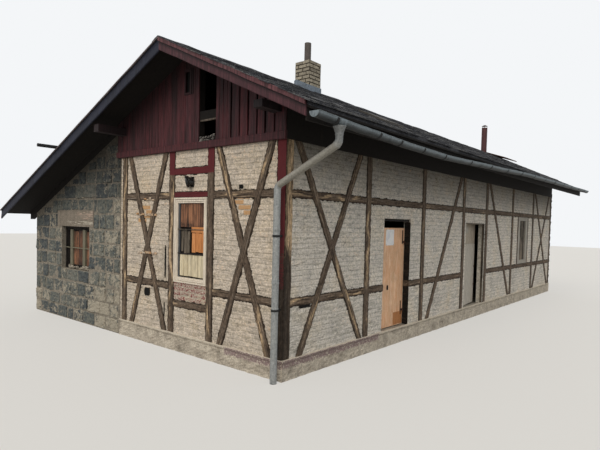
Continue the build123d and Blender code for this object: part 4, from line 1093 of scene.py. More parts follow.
def board(heap, wall, s0, s1, foot, top, thick, seed, proud, wander=0.0015, shade=0.0, **values):
    """Section carried up from z = foot to the line `top`: the place of a line is its a across
    the board plus a little wander, and the face is cupped by the section's middle."""
    a, b = BOARD_SECTION[:, 0][None], BOARD_SECTION[:, 1][None]
    s = (s0 + s1) / 2 + a * (s1 - s0)
    high = on_line(top, s)
    rise = high.max() - foot
    t = np.linspace(0, 1, max(3, int(rise / 0.12)))[:, None]
    z = foot + t * (high - foot)
    s = s + wave(t * rise, seed, 0.4) * wander + 0 * z
    h = proud - b * thick + wave(t * rise, seed + 1, 0.6) * 0.001 + 0 * z
    # Painted shade: `dim` grows over the last 0.75 m under the roof line, as far as `shade` says.
    dim = np.clip(1 - (high - z) / 0.75, 0, 1) * shade
    tone = np.random.default_rng(seed).uniform()
    tube(heap, wall, s, z, h, np.stack([z, s], -1), tone=tone, dim=dim, **values)


def close_boards(heap, wall, s0, s1, width, gap, seed, roof, holes=()):
    """Boards of about `width` side by side from s0 to s1, cut round the holes."""
    r = np.random.default_rng(seed)
    n = max(1, int(round((s1 - s0) / width)))
    cuts = np.linspace(s0, s1, n + 1)
    cuts[1:-1] += r.uniform(-0.12, 0.12, n - 1) * width
    for hole in holes:
        for edge in hole[:2]:
            cuts[np.argmin(np.abs(cuts - edge))] = edge
    for i, (a, b) in enumerate(zip(cuts[:-1], cuts[1:])):
        left, right = a + gap / 2, b - gap / 2
        proud = BOARD_OUT + r.uniform(-0.002, 0.002)
        hit = [hole for hole in holes if a < hole[1] - 0.02 and b > hole[0] + 0.02]
        foot = hit[0][3] if hit else SILL_TOP - 0.02 + r.uniform(0, 0.004)
        if hit:
            board(heap, wall, left, right, SILL_TOP - 0.02, hit[0][2], BOARD_THICK, seed + 3 * i, proud)
        board(heap, wall, left, right, foot, roof, BOARD_THICK, seed + 3 * i, proud, shade=0.8)


def gable_top(s):
    """Underside of the roof boards, a little into them."""
    return roof_z(s, 0.062)


heap = Heap()
close_boards(heap, front, -4.215, LOFT_LEFT, 0.099, 0.004, 9000, gable_top, [HATCH])
piece("front_boards_left", heap, red_finish, replaces=("front_boarding_left",))
heap = Heap()
close_boards(heap, front, LOFT_RIGHT, -1.102, 0.088, 0.006, 9100, gable_top)
for i, (a, b) in enumerate(zip(WIDE[:-1], WIDE[1:])):
    board(heap, front, a + 0.016, b - 0.016, SILL_TOP - 0.01, gable_top, 0.024, 9200 + 5 * i,
          0.028 + 0.004 * (i % 2), shade=0.25)
piece("front_boards_right", heap, red_finish, replaces=("front_boarding_right",))
heap = Heap()
close_boards(heap, rear, 0.0, 4.215, 0.14, 0.005, 9300, lambda s: gable_top(-s))
piece("rear_boards", heap, red_finish, replaces=("rear_boarding",))

# %% Sill boards, hatch frame and what shows in the loft


def plank(heap, wall, s0, s1, line, high, thick, seed, proud, wander=0.003, section=BOARD_SECTION, **values):
    """A board on edge whose upper edge runs along `line`: a point of the section lies
    high * (0.5 - a) under that line."""
    n = max(4, int(abs(s1 - s0) / 0.09))
    a, b = section[:, 0][None], section[:, 1][None]
    s = np.linspace(s0, s1, n)[:, None] + 0 * a
    t = on_line(line, s) - high * (0.5 - a) + wave(s, seed, 0.7) * wander * (a < 0)
    h = proud - b * thick + wave(s, seed + 2, 0.9) * 0.0015
    values = {key: np.broadcast_to(v, s.shape) if np.ndim(v) else v for key, v in values.items()}
    tone = np.random.default_rng(seed).uniform()
    tube(heap, wall, s, t, h, np.stack([s, high * a + 0 * s], -1), tone=tone, **values)


heap = Heap()
plank(heap, front, -4.222, -1.90, SILL_TOP, 0.108, 0.045, 9400, 0.046)
plank(heap, front, -1.90, 0.004, SILL_TOP - 0.002, 0.110, 0.045, 9410, 0.044)
plank(heap, rear, -0.004, 4.222, SILL_TOP, 0.108, 0.045, 9420, 0.045)
piece("sill_board_planks", heap, red_finish, replaces=("sill_boards",))
heap = Heap()
hatch_left, hatch_right, hatch_low, hatch_high = HATCH
for s0, s1, seed, proud in ((hatch_left - 0.025, hatch_left + 0.004, 9430, 0.032),
                            (hatch_right - 0.004, hatch_right + 0.040, 9431, 0.040),
                            (hatch_right + 0.050, hatch_right + 0.075, 9434, 0.034)):
    board(heap, front, s0, s1, hatch_low - 0.03, hatch_high + 0.03, 0.02, seed, proud)
for line, seed in ((hatch_low + 0.005, 9432), (hatch_high + 0.03, 9433)):
    plank(heap, front, hatch_left, hatch_right, line, 0.035, 0.02, seed, 0.037, 0.0)
piece("hatch_frame", heap, shaded_finish)
# A near black board fills the hatch: painted shade of the loft behind it.
heap = Heap()
board(heap, front, hatch_left + 0.001, hatch_right - 0.001, hatch_low + 0.001, hatch_high - 0.001,
      0.01, 9435, -0.005)
piece("loft_darkness", heap, hollow_shade_finish)
heap = Heap()
plank(heap, front, LOFT_LEFT, -1.432, 3.580, 0.135, 0.03, 9437, -0.004)
piece("loft_cross_beam", heap, beam_finish)
heap = Heap()
litter = np.random.default_rng(9438)
n = 34
at = np.sort(litter.uniform(-1.84, -1.50, n))
low = SILL_TOP + litter.uniform(-0.02, 0.075, n)
pillows(heap, front, at, at + litter.uniform(0.012, 0.055, n), low, low + litter.uniform(0.010, 0.035, n),
        litter.uniform(0.01, 0.03, n), 9439, rough=0.005, base=-0.012)
piece("loft_litter", heap, litter_finish)

# %% Barge boards
# The right slope ends in a dark red board under a bleached trim, the board's upper part darkened by painted
# shade under the trim; the left one ends in a narrow blue-black band, painted shade of the roof's edge,
# darkened a little all over by painted shade, under a pale edge.
EAVE_RIGHT, TIP_LEFT, ROOF_FRONT, ROOF_REAR = 0.873, -8.221, -0.61, LENGTH + 0.30
LEFT_SECTION = np.array([(-0.5, 1.0), (-0.5, 0.16), (-0.44, 0.0), (-0.22, 0.05), (0.15, 0.4),
                         (0.44, 0.3), (0.5, 0.36), (0.5, 1.0)])
RIGHT_SHADE = np.clip((BOARD_SECTION[:, 0] + 0.15) / 0.3, 0, 1) * 0.85
LEFT_SHADE = (np.abs(LEFT_SECTION[:, 0] + 0.31) > 0.06) * 0.25
BARGES = [(RIDGE[0], 0.822, BOARD_SECTION, RIGHT_SHADE, 0.180, 0.062),
          (TIP_LEFT, RIDGE[0], LEFT_SECTION, LEFT_SHADE, 0.195, 0.022)]
heap = Heap()
for wall, m in ((Wall((0, ROOF_FRONT, 0), (1, 0, 0)), 1), (Wall((0, ROOF_REAR, 0), (-1, 0, 0)), -1)):
    for i, (x0, x1, section, shadow, high, trim) in enumerate(BARGES):
        s0, s1 = sorted((m * x0, m * x1))
        plank(heap, wall, s0, s1, lambda s: roof_z(m * s, 0.004), high, 0.025, 9500 + 10 * i, 0.002,
              section=section, coat=2 * i, dim=shadow)
        plank(heap, wall, s0, s1, lambda s: roof_z(m * s, -0.004), trim, 0.022, 9550 + 10 * i, 0.024,
              coat=2 * i + 1)
edge_finish = paint_on_boards("weathered_roof_edge", "#837673", "#6d6568", "#948a88", 0.0, 0.5)
piece("barge_planks", heap, [barge_finish, trim_finish, verge_shade_finish, edge_finish],
      replaces=("barge_boards",))

# %% [markdown]
# ## Windows
#
# The gable window is a story in boards: two cream casings, one inside the other, and
# behind them whatever came to hand when the panes broke. Every strip is a board of its
# own, at its own depth, so the light falls into the gaps between them as it really does.

# %% Strips and casings


def slat(heap, wall, s0, s1, t0, t1, thick, seed, proud, coat=0):
    """A flat strip with eased edges, its grain along the longer side."""
    if t1 - t0 > s1 - s0:
        board(heap, wall, s0, s1, t0, t1, thick, seed, proud, 0.001, coat=coat)
    else:
        plank(heap, wall, s0, s1, t1, t1 - t0, thick, seed, proud, 0.001, coat=coat)


def casing(heap, wall, hole, wide, thick, seed, proud, coat=0):
    """Four strips just inside a hole (s0, s1, t0, t1), the uprights between the others."""
    s0, s1, t0, t1 = hole
    foot, head = t0 + wide[1], t1 - wide[1]
    strips = [(s0, s1, head, t1), (s0, s1, t0, foot), (s0, s0 + wide[0], foot, head),
              (s1 - wide[0], s1, foot, head)]
    for i, strip in enumerate(strips):
        slat(heap, wall, *strip, thick, seed + i, proud, coat)


def row_of_boards(heap, wall, cuts, t0, t1, thick, seed, proud, coat, gap=0.004, lean=0.0):
    """Upright boards between the places in `cuts`, each a little nearer or further."""
    r = np.random.default_rng(seed)
    for i, (a, b) in enumerate(zip(cuts[:-1], cuts[1:])):
        foot, head = t0 + r.uniform(-0.5, 1) * lean, t1 - r.uniform(-0.5, 1) * lean
        slat(heap, wall, a + gap / 2, b - gap / 2, foot, head, thick, seed + 9 * i,
             proud + r.uniform(-0.003, 0.003), coat)


def joinery(wall, slats=(), casings=(), rows=()):
    """A heap of single slats, casings and rows of boards, each given as what its own
    function takes after the wall."""
    heap = Heap()
    for make, calls in ((slat, slats), (casing, casings), (row_of_boards, rows)):
        for values in calls:
            make(heap, wall, *values)
    return heap


def inside(hole, edge):
    """The hole less `edge` all round."""
    return hole[0] + edge, hole[1] - edge, hole[2] + edge, hole[3] - edge


print("a slat is a board with", len(BOARD_SECTION), "points round it")

# %% Gable window
GABLE_HOLE = (-2.463, -1.625, 0.872, 2.263)
CREAM, BLUE, BROWN, ORANGE, SILVER, DARK, PALE = range(7)
heap = joinery(
    front,
    slats=[(*GABLE_HOLE, 0.02, 14000, -0.085, DARK),
           (-2.374, -2.338, 0.935, 2.180, 0.02, 14040, -0.020, BLUE),
           (-2.375, -1.710, 1.742, 1.755, 0.014, 14060, -0.008, SILVER),
           (-2.030, -1.715, 1.700, 1.790, 0.020, 14061, -0.020, ORANGE),
           (-2.375, -1.710, 1.345, 1.362, 0.014, 14062, -0.008, DARK)],
    casings=[(GABLE_HOLE, (0.030, 0.028), 0.035, 14010, 0.014, CREAM),
             (inside(GABLE_HOLE, 0.033), (0.028, 0.030), 0.035, 14020, 0.006, CREAM),
             (inside(GABLE_HOLE, 0.063), (0.020, 0.026), 0.035, 14030, -0.004, CREAM)],
    rows=[([-2.330, -2.165, -2.03, -1.88, -1.715], 1.785, 2.175, 0.02, 14050, -0.026, BROWN, 0.003, 0.012),
          ([-2.328, -2.245, -2.175, -2.095], 1.365, 1.735, 0.02, 14070, -0.034, SILVER, 0.010, 0.02),
          ([-2.025, -1.935, -1.850, -1.775, -1.712], 1.385, 1.700, 0.02, 14080, -0.024, ORANGE,
           0.006, 0.012),
          ([-2.330, -2.225, -2.120, -2.005, -1.860, -1.708], 0.985, 1.338, 0.02, 14090, -0.020, PALE,
           0.011, 0.006)])
crumbs = np.random.default_rng(141)
at = np.sort(crumbs.uniform(-2.36, -1.73, 16))
pillows(heap, front, at, at + crumbs.uniform(0.02, 0.06, 16), 0.930, 0.950 + crumbs.uniform(0, 0.035, 16),
        0.02, 14100, rim=0.006, rough=0.004, base=-0.075, coat=DARK)
blue_finish = paint_on_boards("blue_grey_strip", "#46484c", "#55585e", "#3c3c42", 0.0)
# Near black: painted shade of the dark room behind the boards, on the backing and on what lies deep in the
# opening.
deep_shade_finish = paint_on_boards("near_black_painted_shade", "#1c1816", "#2b2420", "#3b2f28", 0.0)
piece("gable_window_boards", heap,
      [cream_finish, blue_finish, brown_finish, orange_finish, grey_finish, deep_shade_finish, board_cream],
      replaces=("front_window",))

# %% Window of the stone wall
STONE_HOLE = (-6.513, -5.315, 0.802, 1.708)
OLIVE, OLD_OAK, BROWN, ORANGE, DARK, MORTAR = range(6)
heap = joinery(
    front,
    slats=[(*STONE_HOLE, 0.02, 14200, -0.175, DARK),
           (-6.430, -6.300, 0.86, 1.62, 0.02, 14229, -0.125, DARK),
           (-6.296, -6.200, 0.845, 1.640, 0.045, 14230, -0.080, OLIVE),
           (-5.752, -5.650, 0.845, 1.640, 0.045, 14231, -0.080, OLIVE),
           (-5.625, -5.470, 0.86, 1.60, 0.02, 14250, -0.105, BROWN),
           (-6.470, -5.350, 1.243, 1.262, 0.012, 14260, -0.072, OLIVE)],
    casings=[(STONE_HOLE, (0.050, 0.045), 0.05, 14210, -0.085, OLD_OAK),
             (inside(STONE_HOLE, 0.047), (0.035, 0.040), 0.05, 14220, -0.105, OLD_OAK)],
    rows=[([-6.195, -6.100, -6.000, -5.885, -5.757], 0.85, 1.615, 0.02, 14240, -0.115, BROWN, 0.006, 0.01)])
at = np.sort(crumbs.uniform(-6.30, -5.40, 18))
low = 0.80 + crumbs.uniform(0, 0.03, 18)
pillows(heap, front, at, at + crumbs.uniform(0.03, 0.09, 18), low, low + crumbs.uniform(0.02, 0.07, 18),
        0.035, 14270, rim=0.010, rough=0.008, base=-0.075, coat=MORTAR)
olive_finish = paint_on_boards("olive_grey_posts", "#7f7a68", "#6c6857", "#4f4a3e", 0.0)
piece("stone_window_boards", heap,
      [olive_finish, shaded_oak_finish, brown_finish, orange_finish, deep_shade_finish, concrete_finish],
      replaces=("stone_window",))

# %% Windows of the platform side and the rear
SIDE_HOLE = (10.292, 11.218, 0.851, 2.241)
heap = joinery(side, [(*inside(SIDE_HOLE, 0.1), 0.02, 14320, -0.058, 2)],
               [(SIDE_HOLE, (0.178, 0.113), 0.06, 14300, 0.002)],
               [([10.47, 10.60, 10.75, 10.89, 11.04], 0.966, 2.126, 0.02, 14310, -0.030, 1, 0.062)])
piece("side_window_boards", heap, [white_finish, grey_finish, deep_shade_finish],
      replaces=("side_window",))
REAR_HOLE = (1.625, 2.463, 0.872, 2.263)
heap = joinery(rear, [(*inside(REAR_HOLE, 0.05), 0.02, 14420, -0.056, 2)],
               [(REAR_HOLE, (0.060, 0.060), 0.06, 14400, 0.006)],
               [(np.linspace(1.685, 2.403, 6), 0.932, 2.203, 0.02, 14410, -0.030, 1)])
piece("rear_window_boards", heap, [cream_finish, grey_finish, deep_shade_finish],
      replaces=("rear_window",))

# %% [markdown]
# ## Doors
#
# The near door is one sheet of plywood, cut off short, with a blank sheet of paper pinned
# on it. The far one is an old boarded leaf that stands ajar, so its boards are laid in a
# frame turned about the hinge pin by the same angle as the CAD leaf.

# %% Near door and its notice
LEAF_1 = Wall((-0.130, 0, 0), (0, 1, 0))
PAPER, PAPER_SIDE, PAPER_THICK = (2.895, 1.530), 0.290, 0.0006
made, add, place = start("weathered_paper", 0.8)
smudge = add("TexNoise", place, Scale=9.0, Detail=5.0)
sheet = add("ValToRGB", smudge, stops=[(0.35, "#eceef2"), (0.55, "#ffffff"), (0.75, "#f2f3f5")])
paper_finish = dress(made, sheet)
heap = Heap()
n = 12
u, v = np.linspace(0, 1, n)[:, None], np.linspace(0, 1, n)[None]
curl = 0.0015 + 0.004 * (np.abs(u - 0.5) * 2) ** 3 * (np.abs(v - 0.5) * 2) ** 3
for lower, faces in ((0, grid_faces(n, n)), (PAPER_THICK, grid_faces(n, n)[:, ::-1])):
    heap.take(LEAF_1.at(PAPER[0] + PAPER_SIDE * u, PAPER[1] + PAPER_SIDE * v, curl - lower), faces)
for i, (s, t) in enumerate([(2.905, 1.54), (3.175, 1.54), (2.905, 1.81), (3.175, 1.81)]):
    pillows(heap, LEAF_1, s - 0.005, s + 0.005, t - 0.005, t + 0.005, 0.004, 14500 + i, rim=0.003,
            rough=0.0002, base=0.004, coat=1)
piece("blank_notice", heap, [paper_finish, rust_finish], body="door_1")
heap = joinery(LEAF_1, [(3.495, 3.530, 1.55, 1.55 + 0.26, 0.004, 14510, 0.0045),
                        (3.495, 3.530, 0.20, 0.20 + 0.26, 0.004, 14511, 0.0045)])
piece("door_1_hinge_plates", heap, rust_finish, body="door_1")
heap = joinery(LEAF_1, [(3.245, 3.575, 0.030, 0.262, 0.003, 14520, 0.0035)])
patch_finish = paint_on_boards("darker_plywood_patch", "#c48a5c", "#b07648", "#7b4c2b", 0.05)
piece("door_1_foot_patch", heap, patch_finish, body="door_1")
# A black blot on the leaf: painted shade of the hole in it.
heap = Heap()
blot(heap, LEAF_1, 2.965, 0.705, 0.072, 0.095, 14525, 0.0012)
piece("door_1_hole_shade", heap, hollow_shade_finish, body="door_1")

# %% The openings' edges
JAMB_1 = Wall((0, 3.590, 0), (1, 0, 0))
heap = joinery(JAMB_1, [(-0.128, -0.006, 0.004, 1.955, 0.006, 14529, 0.0025)])
z = np.arange(0.010, 1.94, 0.076)
pillows(heap, JAMB_1, -0.118 + 0 * z, -0.010 + crumbs.uniform(-0.030, 0.0, len(z)), z, z + 0.060, 0.0040,
        14530, rim=0.008, rough=0.0030)
# The strip and brick ends in the near door's reveal are near black.
near_black_brick = masonry("near_black_brick_ends", ["#0b0a09", "#191512", "#3a3028"], 0.05, 0.95, 0.9)
piece("jamb_brick_ends", heap, near_black_brick)
heap = joinery(side, [(2.632, 3.585, 1.972, 2.003, 0.05, 14540, -0.030, 1),
                      (6.345, 7.497, 1.975, 1.999, 0.05, 14541, 0.004),
                      (7.474, 7.499, 0.004, 1.975, 0.05, 14542, 0.003)])
piece("door_frame_strips", heap, [grey_finish, shaded_oak_finish])

# %% Far door
AJAR = np.radians(7.0)
HINGE_2, HALF_LEAF = np.array([-0.142, 6.347, 0.0]), 0.047
outwards = np.array([np.cos(AJAR), np.sin(AJAR), 0.0])
LEAF_2 = Wall(HINGE_2 + HALF_LEAF * outwards, (-np.sin(AJAR), np.cos(AJAR), 0.0))
heap = joinery(
    LEAF_2,
    rows=[([-0.006, 0.20, 0.44, 0.67, 0.91, 1.140], 0.014, 1.488, 0.012, 14600, 0.006, 0, 0.004, 0.003),
          ([-0.006, 0.24, 0.50, 0.76, 1.140], 1.496, 1.982, 0.012, 14650, 0.004, 1, 0.004, 0.004)])
for i, z in enumerate((0.895, 0.440)):
    pillows(heap, LEAF_2, 1.095, 1.143, z, z + 0.05, 0.016, 14660 + i, rim=0.008, rough=0.001, base=0.004,
            coat=2)
pale_door = paint_on_boards("worn_pale_door", "#d0cabf", "#bdb6a9", "#8b8172", 0.03)
tan_door = paint_on_boards("worn_tan_door", "#bdb29e", "#a6998a", "#7a6e5f", 0.04)
piece("door_2_boards", heap, [pale_door, tan_door, rust_finish], body="door_2")

# %% A round tube, and the lamp by the gable window


def pipe(heap, line, radius, sides=20, **values):
    """A round tube about a line: each ring stands square to the line, in the frame of a
    fixed side direction, and its radius may change from place to place."""
    tangent = np.gradient(line, axis=0)
    tangent /= np.linalg.norm(tangent, axis=1)[:, None]
    first = np.cross(tangent, np.array([0.0, 1.0, 0.0]))
    first /= np.linalg.norm(first, axis=1)[:, None]
    second = np.cross(tangent, first)
    angle = np.arange(sides) / sides * 2 * np.pi
    radius = np.broadcast_to(np.asarray(radius, float), (len(line),))
    round_ = (np.cos(angle)[None, :, None] * first[:, None] + np.sin(angle)[None, :, None] * second[:, None])
    points = line[:, None] + radius[:, None, None] * round_
    n, m = len(line), sides
    faces = grid_faces(n, m, closed=True)[:, ::-1]
    heap.take(points, faces, caps=[range(m), range(n * m - 1, n * m - m - 1, -1)], **values)


def straight(start, step, n):
    """n points from `start` to start + step."""
    return np.array(start) + np.linspace(0, 1, n)[:, None] * np.array(step)


heap = Heap()
pipe(heap, straight((-1.995, 0.0, 2.512), (-0.030, -0.080, 0.008), 12), 0.066, tone=0.5)
bell = 0.074 + 0.024 * np.sin(np.linspace(0, 1, 16) * np.pi / 2) ** 0.8
shade_line = straight((-2.005, -0.050, 2.520), (-0.040, -0.034, -0.012), 16)
pipe(heap, shade_line, bell, 28, tone=0.5)
# The lens is a pale grey-green disc: glass whose pale colour is a painted highlight.
lens = straight(shade_line[-1], (-0.012, -0.0095, -0.003), 5)
pipe(heap, lens, 0.046 * np.sqrt(1 - np.linspace(0, 0.98, 5) ** 2), 24, tone=0.5, coat=1)
slat(heap, front, -2.030, -1.960, 2.430, 2.590, 0.012, 14700, 0.012)
lens_highlight_finish = metal("lamp_glass_painted_highlight", "#7c8781", "#5d6863", "#3f4542", 0.2, 0.0)
piece("black_wall_lamp", heap, [black_finish, lens_highlight_finish], replaces=("wall_lamp",),
      smooth=True)

# %% [markdown]
# ## Slates
#
# Old, nearly black slates in courses of 170 mm, each laid over the one below, so that its
# foot stands up by its own thickness. Frost has lifted some and broken others. They are
# the pillows again, tilted: their head sinks under the course above.

# %% Both slopes
SLATE_COURSE, SLATE_WIDTH = 0.172, 0.31


def slates(name, wall, s0, s1, t_low, t_high, base, seed, ragged):
    """Courses from t_low to t_high up the slope. `ragged` says how far the slates stray over
    the two verges."""
    heap = Heap()
    r = np.random.default_rng(seed)
    rows = int(np.ceil((t_high - t_low) / SLATE_COURSE))
    cols = int(np.ceil((s1 - s0) / SLATE_WIDTH)) + 2
    row, col = np.meshgrid(np.arange(rows), np.arange(cols), indexing="ij")
    left = s0 + (col - (row % 2) * 0.5 - 0.3) * SLATE_WIDTH + r.uniform(-0.012, 0.012, row.shape)
    right = left + SLATE_WIDTH - r.uniform(0.002, 0.008, row.shape)
    edge = r.uniform(0.0, 1.0, (rows, 2)) * ragged
    left = np.maximum(left, s0 - edge[:, :1])
    right = np.minimum(right, s1 + edge[:, 1:])
    foot = t_low + row * SLATE_COURSE + r.uniform(-0.012, 0.006, row.shape)
    foot = foot - (r.uniform(size=row.shape) < 0.06) * 0.02
    head = np.minimum(foot + SLATE_COURSE + 0.03, t_high)
    keep = (right - left > 0.05) & (head - foot > 0.05)
    keep &= r.uniform(size=row.shape) > 0.008
    foot = foot + (r.uniform(size=row.shape) < 0.05) * r.uniform(0.02, 0.07, row.shape)
    lift = 0.004 + (r.uniform(size=row.shape) < 0.07) * r.uniform(0.004, 0.014, row.shape)
    pillows(heap, wall, left[keep], right[keep], foot[keep], head[keep], lift[keep], seed + 1, rim=0.0015,
            base=base, steps=FINE, tilt=0.009)
    piece(name, heap, slate_finish)


RIGHT_LENGTH = (EAVE_RIGHT - RIDGE[0]) / np.cos(PITCH_RIGHT)
LEFT_LENGTH = (RIDGE[0] - TIP_LEFT) / np.cos(PITCH_LEFT)
BREAK = (RIDGE[0] + 4.220) / np.cos(PITCH_LEFT)
right_edges = (ROOF_FRONT - 0.02, ROOF_REAR + 0.02)
left_edges = (-ROOF_REAR - 0.02, -ROOF_FRONT + 0.004)
slates("slates_right", slope_right, *right_edges, -RIGHT_LENGTH - 0.025, -0.01, 0.001, 11000, (0.03, 0.03))
slates("slates_left_high", slope_left, *left_edges, -BREAK - 0.03, -0.01, 0.001, 11100, (0.03, 0.0))
slates("slates_left_low", slope_left, *left_edges, -LEFT_LENGTH - 0.02, -BREAK, -0.014, 11200, (0.03, 0.0))

# %% Ridge capping
LEVEL = Wall((RIDGE[0], 0, RIDGE[1]), (1, 0, 0), (0, 1, 0))
CAPPING = np.array([(-0.16, -0.055), (-0.08, -0.012), (0.0, 0.016), (0.08, -0.014), (0.16, -0.062),
                    (0.0, -0.02)])
heap = Heap()
y = np.linspace(*right_edges, 120)[:, None]
x, z = CAPPING[:, 0][None], CAPPING[:, 1][None]
tube(heap, LEVEL, x + wave(y, 77, 0.8) * 0.004, y + 0 * x,
     z + wave(y, 78, 0.5) * 0.004 + wave(y, 79, 2.5) * 0.006, tone=0.5)
piece("ridge_capping", heap, slate_finish)

# %% [markdown]
# ## Chimney
#
# A small stack of pale bricks with open, sooty joints. The CAD block is the mortar, and
# bricks are laid on its four faces from the roof up.

# %% Chimney bricks
STACK_FOOT, STACK_BRICK, STACK_COURSE, STACK_JOINT = 4.50, 0.180, 0.058, 0.014
stack_low, stack_high = (np.array(v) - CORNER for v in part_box("chimney"))
(left, near), (right, far) = stack_low[:2], stack_high[:2]
heap = Heap()
for i, (x, y, along) in enumerate(((left, near, (1, 0, 0)), (right, far, (-1, 0, 0)),
                                   (right, near, (0, 1, 0)), (left, far, (0, -1, 0)))):
    s0, s1, t0, t1 = courses(0.0, right - left, STACK_FOOT, stack_high[2] + 0.004, STACK_BRICK,
                             STACK_COURSE, STACK_JOINT, 12000 + i, least=0.025)
    pillows(heap, Wall((x, y, 0), along), s0 + 0.002, s1 - 0.002, t0, t1, 0.009, 12100 + i,
            base=-0.002, steps=FINE)
piece("chimney_bricks", heap, chimney_finish)

# %% [markdown]
# ## Gutter and downpipe
#
# Half-round zinc, soldered from lengths that have sagged a little between their hooks, with
# a rolled bead on the outer lip. The downpipe is made of short lengths pushed into each
# other, so it has collars, and wide mitred bends.

# %% Gutter
SAG = np.array([(-0.610, 3.160), (0.25, 3.121), (1.5, 3.088), (2.83, 3.070), (4.4, 3.112), (7.6, 3.203),
                (14.62, 3.262)])
GUTTER_X, GUTTER_R, ZINC, BEAD_R = 0.947, 0.070, 0.003, 0.005
LAPS = ((0.995, 0.02), (2.80, 0.11), (4.39, 0.02), (7.59, 0.02), (10.1, 0.02), (12.3, 0.02))
STRAPS = [-0.240, 0.730, 1.300, 2.020, 2.790, 3.910] + [4.960 + 1.010 * i for i in range(10)]


def rim(y):
    """Height of the gutter's rim: straight lines between its joints, the lowest at 2.83 m."""
    return np.interp(y, SAG[:, 0], SAG[:, 1])


def trough(heap, y, grown, bead=False, underside_shade=0.0, **values):
    """A half-round shell, `grown` larger than the gutter, through the places y. The bead is
    a small circle rolled outwards from the outer lip."""
    y = np.asarray(y, float)[:, None]
    angle = np.linspace(np.pi, 2 * np.pi, 15)
    roll = np.linspace(np.pi, -0.6 * np.pi, 7)[1:]
    outer = np.stack([np.cos(angle), np.sin(angle)], -1) * (GUTTER_R + grown)
    lip = np.stack([GUTTER_R + 0.0005 + BEAD_R * np.cos(roll), 0.002 + BEAD_R * np.sin(roll)], -1)
    inner = np.stack([np.cos(angle[::-1]), np.sin(angle[::-1])], -1) * (GUTTER_R - ZINC)
    ring = np.concatenate([outer, lip, inner] if bead else [outer, inner])
    x, z = ring[:, 0][None], ring[:, 1][None]
    dent = wave(y + x * 20, 502, 0.35) * 0.0012
    # Painted shade: the gutter grows near black over its underside, more on the side toward the wall, as far
    # as `underside_shade` says.
    below = np.clip(-z / GUTTER_R, 0, 1) + np.clip(-x / GUTTER_R, 0, 1) * 0.5
    grime = np.clip((below - 0.25) / 0.55 + wave(y, 503, 0.5) * 0.12, 0, 1) ** 0.8 * underside_shade
    height = rim(y) - RIDGE[1] + z + wave(y, 501, 1.9) * 0.0025 + dent
    tube(heap, LEVEL, GUTTER_X - RIDGE[0] + x + dent, y + 0 * x, height, grime=grime, **values)


def end_disc(heap, y, way):
    """Half a disc with a pressed rim that closes an end. `way` is -1 for the front end, whose
    disc faces the viewer, and 1 for the rear end."""
    radius = np.linspace(0.002, GUTTER_R + 0.002, 5)[:, None]
    angle = np.linspace(np.pi, 2 * np.pi, 13)[None]
    disc = LEVEL.at(GUTTER_X - RIDGE[0] + radius * np.cos(angle),
                    y + way * 0.004 * np.cos(radius / GUTTER_R * 1.5) + 0 * angle,
                    rim(y) - RIDGE[1] + radius * np.sin(angle))
    faces = grid_faces(5, 13)[:, ::-way]
    heap.take(disc, faces, tone=0.5)
    heap.take(disc - np.array([0, way * 0.004, 0]), faces[:, ::-1], tone=0.5)


heap = Heap()
places = np.sort(np.concatenate([np.linspace(SAG[0, 0], SAG[-1, 0], 260), SAG[1:-1, 0]]))
trough(heap, places, 0.0005, True, 1.0, tone=0.5)
end_disc(heap, SAG[0, 0], -1)
end_disc(heap, SAG[-1, 0] - 0.004, 1)
for y, width in LAPS:
    trough(heap, np.linspace(y, y + width, 4), 0.003, underside_shade=1.0, tone=0.35)
trough(heap, np.linspace(-0.19, -0.05, 8), 0.0045, tone=0.5)
piece("zinc_gutter", heap, zinc_finish, replaces=("gutter",), smooth=True)
heap = Heap()
for y in STRAPS:
    trough(heap, np.linspace(y - 0.014, y + 0.014, 3), 0.0055, tone=0.5)
piece("gutter_straps", heap, tar_finish)

# %% Downpipe
OUTLET_Y, PIPE_X, PIPE_R = -0.12, -0.04, 0.047
BEND = [(GUTTER_X, OUTLET_Y, float(rim(OUTLET_Y)) - 0.072), (GUTTER_X, OUTLET_Y, 2.86),
        (PIPE_X, OUTLET_Y, 2.38), (PIPE_X, OUTLET_Y, -PLINTH)]


def rounded(corners, radius, step):
    """Points along a line of corners with each corner cut by a quadratic curve that starts
    and ends `radius` from it, and how far along the line each lies."""
    corners = np.array(corners, float)
    parts = [corners[:1]]
    for before, here, after in zip(corners[:-2], corners[1:-1], corners[2:]):
        a, b = (here + (other - here) / np.linalg.norm(other - here) * radius for other in (before, after))
        k = np.linspace(0, 1, 9)[:, None]
        parts.append((1 - k) ** 2 * a + 2 * k * (1 - k) * here + k ** 2 * b)
    line = np.concatenate(parts + [corners[-1:]])
    length = np.concatenate([[0], np.cumsum(np.linalg.norm(np.diff(line, axis=0), axis=1))])
    places = np.linspace(0, length[-1], int(length[-1] / step))
    return np.stack([np.interp(places, length, line[:, i]) for i in range(3)], -1), places


heap = Heap()
line, places = rounded(BEND, 0.057, 0.012)
radius = PIPE_R + 0 * places
for collar in [0.10, 0.235, places[-1] - 2.08, places[-1] - 1.36, places[-1] - 0.98]:
    radius = radius + 0.0045 * np.exp(-((places - collar) / 0.011) ** 2)
    radius = radius + 0.002 * (places > collar - 0.055) * (places < collar)
radius = radius + np.clip(1 - places / 0.085, 0, 1) * 0.036
slanting = np.clip((line[:, 0] + 0.02) / 0.02, 0, 1) * np.clip((GUTTER_X - 0.005 - line[:, 0]) / 0.05, 0.4, 1)
lime = slanting * np.clip((places - 0.17) / 0.03, 0, 1) * 0.75
# The downpipe is darker over its top 0.15 to 0.2 m, round the funnel.
grime = np.clip((0.20 - places) / 0.05, 0, 1) * 0.40
pipe(heap, line, radius, 24, tone=0.5, lime=np.repeat(lime, 24), grime=np.repeat(grime, 24))
piece("zinc_downpipe", heap, pipe_finish, replaces=("downpipe",), smooth=True)

